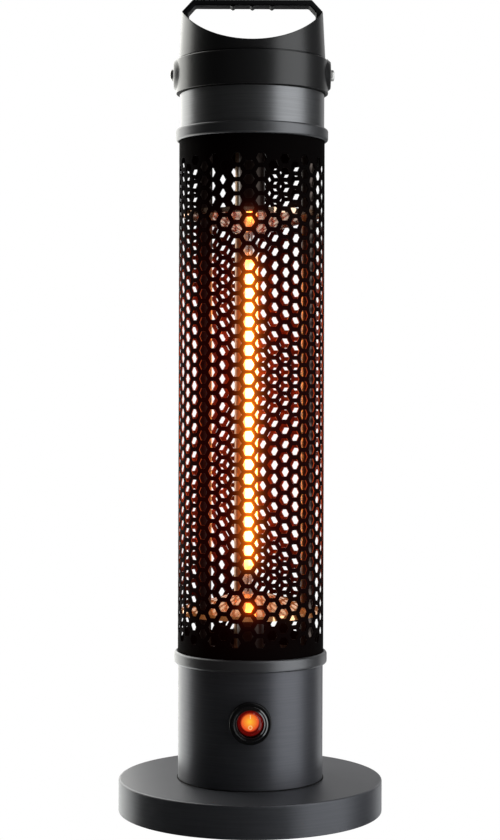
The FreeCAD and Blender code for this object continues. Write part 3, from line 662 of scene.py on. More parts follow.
BRUSH: Triple = (1.0, 1.0, 40.0)
TUBE_BRUSH: Triple = (1.0, 1.0, 20.0)
LAMP_ZONE: Pair = (0.197, 0.440)
SLOT_FINISH: dict[str, Finish] = {
    "body_paint": Coat(
        "satin_grey_paint", colour=(0.097, 0.099, 0.111), metallic=0.66, roughness=0.4, grain=25.0, depth=0.03,
        stretch=BRUSH, streaks=0.5),
    "base_paint": Coat(
        "base_grey_paint", colour=(0.086, 0.088, 0.098), metallic=0.55, roughness=0.42, grain=25.0, depth=0.03,
        stretch=BRUSH, streaks=0.5),
    "ring_paint": Coat(
        "ring_grey_paint", colour=(0.13, 0.132, 0.138), metallic=0.8, roughness=0.4, grain=2000.0, depth=0.05),
    "guard_paint": StovePaint("stove_black_paint"),
    "hood_plastic": Coat(
        "moulded_black_plastic", colour=(0.012, 0.012, 0.0125), roughness=0.33, grain=2600.0, depth=0.05,
        specular=0.6),
    "switch_plastic": Coat(
        "switch_black_plastic", colour=(0.003, 0.003, 0.0033), roughness=0.3, grain=2400.0, depth=0.05,
        specular=0.4),
    "terminal_plastic": Coat("terminal_white_nylon", colour=(0.75, 0.73, 0.68), roughness=0.5, grain=900.0),
    # The cap's red glow is painted: emission in a ring about the button
    "boot_silicone": LitSilicone(
        "clear_silicone", colour=(0.05, 0.006, 0.005), faint=0.03, rim=0.2, roughness=0.1, uneven=0.08,
        grain=500.0, stretch=EVEN, haze=0.6, glow=(0.11, 0.001, 0.0006)),
    "rocker_plastic": LitRocker("lit_red_plastic"),
    "zinc_steel": Coat(
        "zinc_plated_steel", colour=(0.5, 0.5, 0.49), metallic=1.0, roughness=0.36, grain=240.0, mottling=0.2),
    "screw_steel": Coat(
        "stainless_screw_steel", colour=(0.74, 0.73, 0.71), metallic=0.85, roughness=0.42, grain=1200.0,
        depth=0.05),
    "post_metal": Coat(
        "heat_blackened_tube", colour=(0.1, 0.08, 0.07), metallic=0.9, roughness=0.38, grain=90.0, depth=0.05,
        stretch=TUBE_BRUSH),
    "reflector_metal": SpunSheet("spun_aluminium"),
    "quartz": Clear("quartz_glass", hot_zone=LAMP_ZONE, haze=0.45, glow=(6.0, 2.2, 0.4)),
    "carbon": GlowingCarbon("glowing_carbon", ends=LAMP_ZONE),
    "lamp_ceramic": Coat(
        "lamp_white_ceramic", colour=(0.78, 0.75, 0.7), roughness=0.45, grain=1100.0, depth=0.1),
    "foot_rubber": Coat(
        "foot_black_rubber", colour=(0.005, 0.005, 0.005), roughness=0.75, grain=1300.0, depth=0.3,
        specular=0.2),
    "wire_sleeve": Coat(
        "woven_glass_sleeve", colour=(0.7, 0.67, 0.58), roughness=0.7, grain=260.0, depth=0.5,
        stretch=(3.0, 3.0, 1.0)),
    "ballast_concrete": Coat(
        "rough_cast_concrete", colour=(0.34, 0.33, 0.31), roughness=0.85, grain=420.0, depth=0.6, mottling=0.3),
    "weight_brass": Coat("turned_brass", colour=(0.72, 0.52, 0.24), metallic=1.0, roughness=0.3, grain=300.0),
}
OWN_FINISH: dict[str, Finish] = {
    # The rear post: a lighter orange copy of the tube finish, painted lamp light on the post seen behind the lamp
    "support_post_rear": Coat(
        "tube_lamp_lit_copy", colour=(0.5, 0.32, 0.2), metallic=0.9, roughness=0.38, grain=90.0, depth=0.05,
        stretch=TUBE_BRUSH),
    # The lower reflector: a warmer copy of the spun sheet with a faint orange painted glow of lamp light
    "lower_reflector": SpunSheet(
        "warm_aluminium_painted_glow", colour=(1.0, 0.6, 0.32), stain=(0.9, 0.44, 0.18), metallic=0.75,
        glow=(0.16, 0.05, 0.012)),
    # The upper shell: a lighter, more metallic copy of the body paint, painted light that makes it brighter than the
    # column
    "upper_shell": Coat(
        "brushed_body_paint_lit_copy", colour=(0.2, 0.203, 0.21), metallic=0.9, roughness=0.36, grain=25.0, depth=0.04,
        stretch=(1.0, 1.0, 44.0), uneven=0.1, streaks=0.5),
    # The carrying bar: a darker, duller copy of the hood plastic, painted shade that keeps its underside dark
    "hood_grip_bar": Coat(
        "hood_plastic_shaded_copy", colour=(0.009, 0.009, 0.0095), roughness=0.5, grain=2600.0, depth=0.05,
        specular=0.14),
    "switch_lens_ring": Coat(
        "polished_black_plastic", colour=(0.004, 0.003, 0.0033), roughness=0.14, grain=2400.0, depth=0.02,
        specular=1.0, coat=1.0, coat_roughness=0.1),
    "rocker_marks": LitRocker("lit_mark_paint", stops=((0.0, (1.0, 0.8, 0.4)), (1.0, (1.0, 0.45, 0.16)))),
}


def finish_of(name: str, slot: str) -> Finish:
    """Finish of a piece or a solid: its own one, or that of its slot."""
    return OWN_FINISH.get(name, SLOT_FINISH[slot])


def fit(skin: Skin, name: str, slot: str, nodes: Sequence[str] = (), body: str = "heater") -> None:
    """Make a piece, dress it and set it on its body.

    Args:
        skin: Surfaces of the piece.
        name: Name of the piece.
        slot: Slot of the record that its finish belongs to.
        nodes: Solids that it stands for.
        body: Body that it moves with.
    """
    finish = finish_of(name, slot)
    made = skin.piece(name)
    made.data.materials.append(finish.material())
    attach(made, body)
    if nodes:
        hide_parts(*nodes)
    LOG.info("%s: %d faces in %s", name, len(made.data.polygons), finish.name)


@dataclass
class Base:
    """Round base on four feet, with a thin black ring around the column's foot, a painted shadow for the dark line
    where the column meets the base.
    """

    radius: float = 105.5
    rim: float = 1.5
    top: float = 27.2
    edge: float = 1.6
    sheet: float = 1.2
    foot_radius: float = 9.0
    foot_height: float = 2.0
    foot_circle: float = 88.0
    feet: int = 4
    # Black ring at the column's foot: painted shadow
    bead: Pair = (58.05, 58.8)
    shade_bead_lean: float = 0.1
    shade_bead_height: float = 0.9

    def build(self) -> None:
        """Turn a cover with a rounded edge, feet with rounded rims and the black ring of painted shadow at the
        column's foot.
        """
        inside, under = self.radius - self.sheet, self.top - self.sheet
        cover = rounded([
            (0, self.top, 0), (self.radius, self.top, self.edge), (self.radius, self.rim, 0.5),
            (inside, self.rim, 0.4), (inside, under, self.edge - self.sheet), (0, under, 0)], 7)
        fit(Skin().ring(cover, 220), "base_cover_shell", "base_paint", ["base_cover"])
        foot = block((0, self.foot_radius), (0, self.foot_height), (0, 0.6, 0.3, 0), 4)
        feet = Skin()
        for turn in around(self.feet):
            feet.ring(foot, 48, (self.foot_circle * math.sin(turn), -self.foot_circle * math.cos(turn)))
        fit(feet, "rubber_foot_pads", "foot_rubber", ["rubber_feet"])
        # Painted shadow: a thin black ring stands for the dark contact line at the column's foot
        low, high, (inner, outer) = self.top, self.top + self.shade_bead_height, self.bead
        bead = rounded([
            (inner, low, 0), (outer, low, 0.1), (outer - self.shade_bead_lean, high, 0.3), (inner, high, 0.1)], 3)
        fit(Skin().ring(bead), "column_foot_shade_bead", "foot_rubber")


@dataclass
class Bodies:
    """Column, upper body and the two trim rings."""

    radius: float = 58.0
    sheet: float = 1.2
    column: Pair = (27.2, 122.5)
    flange_inside: float = 46.8
    flange_sheet: float = 1.5
    upper: Pair = (543.6, 599.3)
    ring_radius: float = 61.2
    ring_bore: float = 58.7
    ring_round: float = 2.3
    ledge_radius: float = 54.0
    ledge: float = 2.0
    deck: float = 1.5
    skirt: float = 3.3
    lip: float = 3.1
    decks: Pair = (124.0, 542.1)
    fit_gap: float = 0.2

    def ring_outline(self, deck: float, side: int) -> np.ndarray:
        """Section of a ring whose ledge lies on a deck.

        Args:
            deck: Level of the deck face.
            side: 1 where the lip points up, -1 where it points down.

        Returns:
            Outline of (radius, z) points.
        """
        skirt = deck - side * (self.deck + self.skirt)
        lip = deck + side * (self.ledge + self.lip)
        shelf = deck + side * self.ledge
        bore = self.radius + self.fit_gap
        return rounded([
            (self.ring_radius, skirt, self.ring_round), (self.ring_radius, lip, self.ring_round),
            (self.ring_bore, lip, 0.3), (self.ring_bore, shelf, 0), (self.ledge_radius, shelf, 0),
            (self.ledge_radius, deck, 0), (bore, deck, 0), (bore, skirt, 0.2)], 6)

    def build(self) -> None:
        """Turn the two tubes and the two rings."""
        inside = self.radius - self.sheet
        low, high = self.column
        shelf = low + self.flange_sheet
        column = rounded([
            (self.radius, low, 0.3), (self.radius, high, 0.3), (inside, high, 0.2), (inside, shelf, 0.5),
            (self.flange_inside, shelf, 0.2), (self.flange_inside, low, 0.2)], 3)
        fit(Skin().ring(column), "column_shell", "body_paint", ["lower_column"])
        upper = block((inside, self.radius), self.upper, (0.2, 0.3, 0.3, 0.2))
        fit(Skin().ring(upper), "upper_shell", "body_paint", ["upper_body"])
        for name, deck, side in zip(("lower_trim", "upper_trim"), self.decks, (1, -1)):
            fit(Skin().ring(self.ring_outline(deck, side)), name + "_band", "ring_paint", [name + "_ring"])


@dataclass
class Guard:
    """Tube of sheet with staggered columns of hexagonal holes."""

    radius: float = 58.45
    wall: float = 1.0
    bottom: float = 126.0
    top: float = 540.1
    columns: int = 38
    turn: float = -2.2
    pitch: float = 11.05
    web: float = 3.45
    first: float = 142.3
    rows: int = 35
    chamfer: float = 0.14
    band: float = 4.0

    def spot(self, radius: float, third: np.ndarray, level: np.ndarray) -> np.ndarray:
        """Points on a cylinder.

        Args:
            radius: Radius of the cylinder.
            third: Angles in thirds of a column, counted from column 0.
            level: Heights.

        Returns:
            Array with (x, y, z) as its last axis.
        """
        thirds = 3 * self.columns
        angle = math.radians(self.turn) + np.mod(third, thirds) * 2 * math.pi / thirds
        return np.stack(np.broadcast_arrays(radius * np.sin(angle), -radius * np.cos(angle), level), axis=-1)

    def cells(self) -> np.ndarray:
        """Five hexagons for each hole: cell outside, hole outside, hole edge, hole inside, cell inside.

        A cell's corners lie at 2, 1, -1, -2, -1, 1 thirds of a column and 0, 1, 1, 0, -1, -1 half pitches from its
        middle, so that neighbours share them. A hole's corners lie on a circle about the same middle.

        Returns:
            Array of holes by hexagons by corners by (x, y, z).
        """
        column = np.repeat(np.arange(self.columns), self.rows)
        row = np.tile(np.arange(self.rows), self.columns)
        kept = (column % 2 == 1) | (row < self.rows - 1)
        column, row = column[kept][:, None], row[kept][:, None]
        half = 2 * row + (column % 2 == 0)
        across = 3 * column + np.array([2, 1, -1, -2, -1, 1])
        cell_level = self.first + (half + np.array([0, 1, 1, 0, -1, -1])) * self.pitch / 2
        turn = around(6)
        size = (self.pitch - self.web) / math.sqrt(3)
        step = self.radius * 2 * math.pi / (3 * self.columns)
        inner = self.radius - self.wall

        def hole(radius: float, reach: float) -> np.ndarray:
            """Corners of all the holes on a cylinder."""
            third = 3 * column + reach * np.cos(turn) / step
            return self.spot(radius, third, self.first + half * self.pitch / 2 + reach * np.sin(turn))

        return np.stack([
            self.spot(self.radius, across, cell_level), hole(self.radius, size + self.chamfer),
            hole(self.radius - self.chamfer, size), hole(inner, size), self.spot(inner, across, cell_level)], axis=1)

    def edge(self, last: bool) -> tuple[np.ndarray, np.ndarray]:
        """Zigzag where the cells end.

        Args:
            last: Whether it is the upper end.

        Returns:
            Angles in thirds of a column, and heights.
        """
        column = np.repeat(np.arange(self.columns), 2)
        half = np.where(column % 2 == 1, -1, 0)
        half = 2 * (self.rows - 1) - half if last else half
        return 3 * column + np.tile([-1, 1], self.columns), self.first + half * self.pitch / 2

    @staticmethod
    def strips(number: np.ndarray) -> np.ndarray:
        """Faces between neighbouring loops.

        Args:
            number: Point numbers, with a loop along the last axis and the loops along the one before.

        Returns:
            Array of four point numbers for each face.
        """
        ahead = np.roll(number, -1, axis=-1)
        corners = [number[..., :-1, :], ahead[..., :-1, :], ahead[..., 1:, :], number[..., 1:, :]]
        return np.stack(corners, axis=-1).reshape(-1, 4)

    def build(self) -> None:
        """Join the strips between the hexagons and close the tube with plain bands at both ends."""
        cells = self.cells()
        total = cells[..., 0].size
        points, faces = [cells.reshape(-1, 3)], [self.strips(np.arange(total).reshape(cells.shape[:-1]))]
        inner = self.radius - self.wall
        for last, end, near in (
                (False, self.bottom, self.bottom + self.band), (True, self.top, self.top - self.band)):
            third, level = self.edge(last)
            grid = np.stack([
                self.spot(radius, third, np.broadcast_to(z, third.shape)) for radius, z in (
                    (self.radius, level), (self.radius, near), (self.radius, end), (inner, end), (inner, near),
                    (inner, level))])
            count = grid[..., 0].size
            band = self.strips(np.arange(total, total + count).reshape(grid.shape[:-1]))
            faces.append(band if last else band[:, ::-1])
            points.append(grid.reshape(-1, 3))
            total += count
        skin = Skin().add(np.concatenate(points), np.concatenate(faces))
        fit(skin, "guard_mesh_tube", "guard_paint", ["guard"])


@dataclass
class Lamp:
    """Carbon element: a braided cord pulled tight inside the quartz tube."""

    radius: float = 2.35
    ends: Pair = (196.95, 439.95)
    ridges: int = 4
    lay: float = 14.0
    relief: float = 0.35
    stations: int = 120
    sides: int = 32

    def build(self) -> None:
        """Braid as radius less a relief times the crossing of a left and a right lay.

        At angle t and height z the radius is r - relief * |sin(n t / 2 + 2 pi z / lay) sin(n t / 2 - 2 pi z / lay)|.
        """
        level = np.linspace(*self.ends, self.stations)[:, None]
        turn, lead = around(self.sides), 2 * math.pi * level / self.lay
        strand = self.ridges * turn / 2
        radius = self.radius - self.relief * np.abs(np.sin(strand + lead) * np.sin(strand - lead))
        cord = np.stack([radius * np.sin(turn), -radius * np.cos(turn), level + 0 * turn], axis=-1)
        fit(Skin().grid(capped(cord)), "carbon_braid", "carbon", ["carbon_element"])


@dataclass
class Hood:
    """Moulded hood with its collar, scooped rims, carrying bar, screw pads and screws."""

    collar_radius: float = 61.0
    collar_bore: float = 58.2
    collar: Pair = (575.3, 601.8)
    collar_edge: float = 1.0
    # Black ring under the collar: painted shadow for the shade gap beneath it
    bead: Pair = (58.05, 58.9)
    shade_bead_levels: Pair = (574.4, 575.6)
    floor: float = 599.3
    radius: float = 58.8
    top_radius: float = 56.7
    wall: float = 2.5
    shoulder: float = 641.2
    scoop: Pair = (60.0, 47.0)
    scoop_level: float = 657.0
    scoop_passes: int = 4
    rim_round: float = 0.9
    groove: float = 1.1
    groove_depth: float = 0.9
    root: float = 0.6
    bar_half: float = 55.6
    bar_corner: float = 8.1
    bar_top: float = 650.0
    bar_depth: float = 18.0
    bar_thickness: float = 4.6
    bar_bend: float = 2.0
    bar_edge: float = 1.2
    ridge_pitch: float = 15.7
    ridge_width: float = 4.0
    ridge_height: float = 1.3
    pad_radius: float = 11.2
    pad_edge: float = 0.9
    pad_face: float = 63.0
    pad_foot: Pair = (13.0, 21.0)
    pad_sink: float = 0.4
    pad_root: float = 59.0
    pad_grid: tuple[int, int] = (12, 96)
    pad_level: float = 590.6
    screw_head: float = 4.5
    screw_height: float = 2.8
    screw_shank: float = 2.0
    screw_tip: float = 51.5
    screw_sides: int = 72
    socket: float = 1.9
    socket_edge: float = 0.3
    socket_depth: float = 1.5
    segments: int = 240
    ear_nudge: float = 0.004
    angles: np.ndarray = field(init=False)

    def __post_init__(self) -> None:
        """Angles of the shell: even steps, with close pairs where the ears begin."""
        ear = math.asin(self.bar_depth / 2 / self.top_radius)
        marks = [
            side + sign * (ear + nudge) for side in (math.pi / 2, 1.5 * math.pi) for sign in (-1, 1)
            for nudge in (-self.ear_nudge, self.ear_nudge)]
        self.angles = np.unique(np.concatenate([around(self.segments), marks]))

    def rim(self, inset: float) -> np.ndarray:
        """Height of the scooped rim at each angle.

        The scoop is an ellipse across x, so z = level - b sqrt(1 - (x / a)^2) where the wall stands at x, and the
        ears beside the bar keep the height of the shoulder.

        Args:
            inset: How far inside the outer face.

        Returns:
            Heights.
        """
        half, drop = self.scoop
        level = np.full(self.angles.shape, self.shoulder)
        for _ in range(self.scoop_passes):
            x = (self.face(level) - inset) * np.sin(self.angles)
            level = self.scoop_level - drop * np.sqrt(np.clip(1 - (x / half) ** 2, 0.0, 1.0))
            level = np.minimum(level, self.shoulder)
        near = np.abs(self.face(level) * np.cos(self.angles)) <= self.bar_depth / 2
        return np.where(near, self.shoulder, level)

    def face(self, level: np.ndarray) -> np.ndarray:
        """Radius of the hood's outer face at a height, which falls evenly from its foot to the shoulder."""
        foot = self.collar[1]
        return self.radius - (self.radius - self.top_radius) * (level - foot) / (self.shoulder - foot)

    def shell(self) -> np.ndarray:
        """Hood, floor and collar as one outline carried round the axis, its rim following the scoop.

        Across the wall the rim falls by e(d) = r - sqrt(r^2 - (r - d)^2) within a round r of each face.

        Returns:
            Grid of points, outline by angle.
        """
        low, foot = self.collar
        outer, inner = self.rim(0.0), self.rim(self.wall)
        edge = self.rim_round / self.wall
        share = np.concatenate([np.linspace(0, edge, 6), np.linspace(1 - edge, 1, 6)])[:, None]
        gap = np.clip(self.rim_round - np.minimum(share, 1 - share) * self.wall, 0, None)
        drop = self.rim_round - np.sqrt(np.clip(self.rim_round ** 2 - gap ** 2, 0, None))
        rim_level = outer + (inner - outer) * share - drop
        rim_radius = self.face(rim_level) - share * self.wall
        rise = np.linspace(0.0, 0.96, 7)[:, None]
        start = foot + self.groove
        outer_level = start + (rim_level[0] - start) * rise
        inner_level = start + (rim_level[-1] - start) * rise[::-1]
        neck = self.radius - self.groove_depth
        lower = rounded([
            (0, foot, 0), (0, self.floor, 0), (self.collar_bore, self.floor, 0.3), (self.collar_bore, low, 0.3),
            (self.collar_radius, low, 0.4), (self.collar_radius, foot, self.collar_edge), (neck, foot, 0.1),
            (neck, foot + 0.9 * self.groove, 0.1)], 6)
        ones = np.ones((1, len(self.angles)))
        radius = np.concatenate([
            lower[:, :1] * ones, self.face(outer_level), rim_radius, self.face(inner_level) - self.wall,
            (self.radius - self.wall - self.root) * ones])
        level = np.concatenate([lower[:, 1:] * ones, outer_level, rim_level, inner_level, foot * ones])
        return np.stack([radius * np.sin(self.angles), -radius * np.cos(self.angles), level], axis=-1)

    def strap(self) -> np.ndarray:
        """Carrying bar: a rounded rectangle carried between the strap's outer and inner lines.

        A section point (w, y) lies at the share w of the way from the outer line to the inner one, at depth y.

        Returns:
            Grid of points, station by section.
        """
        foot, half, run, bend = self.collar[1], self.bar_half, self.bar_corner, self.bar_bend
        thick, depth, curve = self.bar_thickness, self.bar_depth / 2, self.bar_edge
        lean = math.atan2(self.bar_top - self.shoulder, run)
        side = thick * math.tan((math.pi / 2 - lean) / 2)
        flat = thick * math.tan(lean / 2)
        outer, inner = (
            rounded([
                (-edge, foot, 0), (-edge, shoulder, bend), (-corner, top, bend), (corner, top, bend),
                (edge, shoulder, bend), (edge, foot, 0)], 6)
            for edge, shoulder, corner, top in (
                (half, self.shoulder, half - run, self.bar_top),
                (half - thick, self.shoulder - side, half - run - flat, self.bar_top - thick)))
        section = rounded([
            (0, -depth, curve), (0, depth, curve), (thick, depth, curve), (thick, -depth, curve)], 5)
        across = outer[:, None] + (inner - outer)[:, None] * (section[:, 0] / thick)[None, :, None]
        depths = np.broadcast_to(section[:, 1], across.shape[:2])
        return capped(np.stack([across[..., 0], depths, across[..., 1]], axis=-1))

    def build(self) -> None:
        """Join shell and pads into one moulding, bar and ridges into another, and set the screws in the pads."""
        skin = Skin().grid(self.shell(), loop_rows=True)
        grip = Skin().grid(self.strap())
        under, half = self.bar_top - self.bar_thickness, self.ridge_width / 2
        reach = np.array([0.0, self.bar_depth / 2 - self.bar_edge, 0.0])
        for x in (-self.ridge_pitch, 0.0, self.ridge_pitch):
            outline = rounded([
                (x - half, under + 1, 0), (x - half, under, 0.5), (x, under - self.ridge_height, 0.65),
                (x + half, under, 0.5), (x + half, under + 1, 0)], 4)
            outline = np.insert(outline, 1, 0.0, axis=1)
            grip.grid(capped(np.stack([outline - reach, outline + reach])))
        screws = Skin()
        for side in (Side.LEFT, Side.RIGHT):
            skin.grid(side.place(self.pad(), self.pad_level))
            screws.fitting(self.screw(), side, self.pad_level)
        # Painted shadow: a thin black ring under the collar stands for the dark gap line there
        bead = Skin().ring(block(self.bead, self.shade_bead_levels, (0.1, 0.3, 0.1, 0.1)))
        fit(skin, "hood_moulding", "hood_plastic", ["carry_handle"])
        fit(grip, "hood_grip_bar", "hood_plastic")
        fit(bead, "collar_shade_bead", "foot_rubber")
        fit(screws, "pad_screws", "screw_steel", ["handle_screws"])

    def pad(self) -> np.ndarray:
        """Screw pad that swells out of the collar.

        An ellipse on the collar, out = sqrt(R^2 - y^2), shrinks to a circle on the face while a smooth step of the
        share carries it from the collar out to the face.

        Returns:
            Grid of (up, along, out) points, ring by angle.
        """
        rings, sides = self.pad_grid
        turn, share = around(sides), np.linspace(0.0, 1.0, rings)[:, None]
        (high, wide), face = self.pad_foot, self.pad_radius - self.pad_edge
        up = (high + (face - high) * share) * np.cos(turn)
        along = (wide + (face - wide) * share) * np.sin(turn)
        seat = np.sqrt(self.collar_radius ** 2 - along ** 2) - self.pad_sink
        rise = share * share * (3 - 2 * share)
        body = np.stack([up, along, seat + (self.pad_face - seat) * rise], axis=-1)
        root = np.broadcast_to([0.0, 0.0, self.pad_root], body[:1].shape)
        return capped(np.concatenate([root, body]))

    def screw(self) -> np.ndarray:
        """Button screw with a hexagonal socket whose corners lie at the socket's radius.

        Returns:
            Grid of points, outline by angle.
        """
        crown = self.pad_face + self.screw_height
        bottom = crown - self.socket_depth
        outline = rounded([
            (0, self.screw_tip, 0), (self.screw_shank, self.screw_tip, 0.3), (self.screw_shank, self.pad_face, 0),
            (self.screw_head, self.pad_face, 0.2), (self.screw_head, crown, 1.2),
            (self.socket + self.socket_edge, crown, 0.15), (self.socket, crown - self.socket_edge, 0),
            (self.socket, bottom, 0), (0, bottom, 0)], 5)
        body = turned(outline, self.screw_sides)
        inside = (outline[:, 0] <= self.socket + 1e-6) & (outline[:, 1] > self.pad_face)
        body[inside, :, :2] *= (hexagon(around(self.screw_sides)) * math.cos(math.pi / 6))[:, None]
        return body


@dataclass
class Switch:
    """Round rocker switch on the front of the column, under a clear domed cap."""

    level: float = 80.6
    column_radius: float = 58.0
    gasket: Pair = (11.0, 16.4)
    gasket_face: float = 60.2
    bezel_radius: float = 16.2
    bezel_bore: float = 10.6
    bezel: Pair = (62.2, 64.6)
    bezel_fall: Pair = (0.7, 0.65)
    lens_gap: float = 0.05
    lens: tuple[Triple, ...] = (
        (3.1, 0.6, 0.15), (2.0, 0.0, 0.2), (1.7, 0.95, 0.1), (1.25, 0.95, 0.1), (0.15, 0.35, 0.15), (0.0, 0.7, 0.1))
    boot_flange: float = 14.5
    boot_edge: float = 0.2
    boot_radius: float = 10.3
    boot_foot: float = 62.2
    boot_rise: float = 4.7
    boot_sheet: float = 0.8
    rocker_radius: float = 8.3
    rocker_gap: float = 0.15
    rocker_edge: float = 0.93
    rocker_fall: float = 0.5
    pivot: float = 57.5
    tilt: float = 10.0
    face: float = 3.2
    dip: float = 1.0
    dip_round: float = 0.6
    back: float = 2.0
    mark_half: float = 0.28
    mark_height: float = 0.08
    mark_ring: Pair = (-3.6, 1.35)
    mark_bar: Pair = (3.1, 6.1)

    def build(self) -> None:
        """Gasket, bezel, lens ring, cap, rocker and its two marks.

        The lens ring's front is a list of (out from the bore, back from the front, round).
        """
        low, high = self.bezel
        bore, seat = self.bezel_bore, self.bezel_bore + self.lens[0][0]
        wall, (fall, inner_fall) = seat + self.lens_gap, self.bezel_fall
        bezel = rounded([
            (wall, low, 0.2), (self.bezel_radius, low, 0.2), (self.bezel_radius, high - fall, 0.8),
            (wall, high - inner_fall, 0.1)], 4)
        front = [(bore + out, high - back, curve) for out, back, curve in self.lens]
        lens = rounded([(bore, low, 0.2), (seat, low, 0.1), *front], 4)
        for name, slot, nodes, body, grid in (
                ("switch_seal_ring", "foot_rubber", ["switch_gasket"], "heater", self.seal()),
                ("switch_bezel_ring", "switch_plastic", ["switch_bezel"], "heater", turned(bezel)),
                ("switch_lens_ring", "switch_plastic", (), "heater", turned(lens)),
                ("switch_clear_cap", "boot_silicone", ["switch_boot"], "heater", turned(self.boot())),
                ("rocker_face", "rocker_plastic", ["switch_rocker"], "rocker", self.leant(self.rocker()))):
            fit(Skin().fitting(grid, Side.FRONT, self.level), name, slot, nodes, body)
        fit(self.marks(), "rocker_marks", "rocker_plastic", (), "rocker")

    def seal(self) -> np.ndarray:
        """Ring with a flat front whose back follows the column, out = sqrt(R^2 - x^2).

        Returns:
            Grid of points, outline by angle.
        """
        ring = turned(block(self.gasket, (0, 1), (0.1, 0.1, 0.3, 0.1)))
        seat = np.sqrt(self.column_radius ** 2 - ring[..., 0] ** 2)
        ring[..., 2] = seat + (self.gasket_face - seat) * ring[..., 2]
        return ring

    def boot(self) -> np.ndarray:
        """Cap section: two arcs about one centre above a flat flange.

        The dome's radius is (a^2 + h^2) / 2h for a base radius a and a rise h.

        Returns:
            Outline of (radius, out) points.
        """
        dome = (self.boot_radius ** 2 + self.boot_rise ** 2) / (2 * self.boot_rise)
        centre = self.boot_foot + self.boot_rise - dome
        under, inside = self.boot_foot - self.boot_sheet, dome - self.boot_sheet
        share = np.linspace(0.0, 1.0, 16)
        out, back = (
            np.stack([reach * np.sin(share * wide), centre + reach * np.cos(share * wide)], axis=-1)
            for reach, wide in (
                (dome, math.asin(self.boot_radius / dome)), (inside, math.acos((under - centre) / inside))))
        flange = np.array([
            (self.boot_flange - self.boot_edge, self.boot_foot), (self.boot_flange, self.boot_foot - self.boot_edge),
            (self.boot_flange, under)])
        return np.concatenate([out, flange, back[::-1]])

    def height(self, up: np.ndarray) -> np.ndarray:
        """Rocker face above its pivot: two slopes that meet in a soft dip, f - d (1 - sqrt(u^2 + e) / r)."""
        return self.face - self.dip * (1 - np.sqrt(up ** 2 + self.dip_round) / self.rocker_radius)

    def rocker(self) -> np.ndarray:
        """Button with a dished face, before it leans. Towards its rim the face falls with the square of the way.

        Returns:
            Grid of (across, up, out from the pivot) points.
        """
        radius = self.rocker_radius - self.rocker_gap
        rings = np.concatenate([np.linspace(0, self.rocker_edge, 12), [0.96, 0.98, 0.995, 1.0]])
        crest = np.stack([rings * radius, np.ones_like(rings)], axis=-1)
        outline = np.concatenate([crest, [(radius, 0.0), (0.0, 0.0)]])
        body = turned(outline, 72)
        share = np.clip((outline[:, 0] / radius - self.rocker_edge) / (1 - self.rocker_edge), 0, 1)
        crown = self.height(body[..., 1]) - (self.rocker_fall * share ** 2)[:, None]
        body[..., 2] = np.where(body[..., 2] > 0.5, crown, -self.back)
        return body

    def leant(self, body: np.ndarray) -> np.ndarray:
        """Lean points about the pivot by the rest tilt, so that the upper half is pressed.

        Args:
            body: Points as (across, up, out from the pivot).

        Returns:
            Points as (across, up, out from the heater's axis).
        """
        cosine, sine = math.cos(math.radians(self.tilt)), math.sin(math.radians(self.tilt))
        across, up, out = np.moveaxis(body, -1, 0)
        return np.stack([across, up * cosine + out * sine, self.pivot - up * sine + out * cosine], axis=-1)

    def marks(self) -> Skin:
        """A stroke on the upper half and a ring on the lower half, each a thin rounded bar laid on the face.

        Returns:
            Surfaces of both marks.
        """
        turn, way = around(10), around(36)[:, None]
        middle, radius = self.mark_ring
        reach = radius + self.mark_half * np.cos(turn)
        up = middle + reach * np.cos(way)
        ring = np.stack([reach * np.sin(way), up, self.height(up) + self.mark_height * np.sin(turn)], axis=-1)
        start, stop = self.mark_bar
        up = np.array([start, start, start + 0.1, stop - 0.1, stop, stop])[:, None] + 0 * turn
        wide = np.array([0.0, 0.8, 1.0, 1.0, 0.8, 0.0])[:, None]
        bar = np.stack([
            self.mark_half * wide * np.cos(turn), up,
            self.height(up) + self.mark_height * np.sin(turn) * wide], axis=-1)
        skin = Skin().fitting(self.leant(ring), Side.FRONT, self.level)
        return skin.grid(Side.FRONT.place(self.leant(bar), self.level))


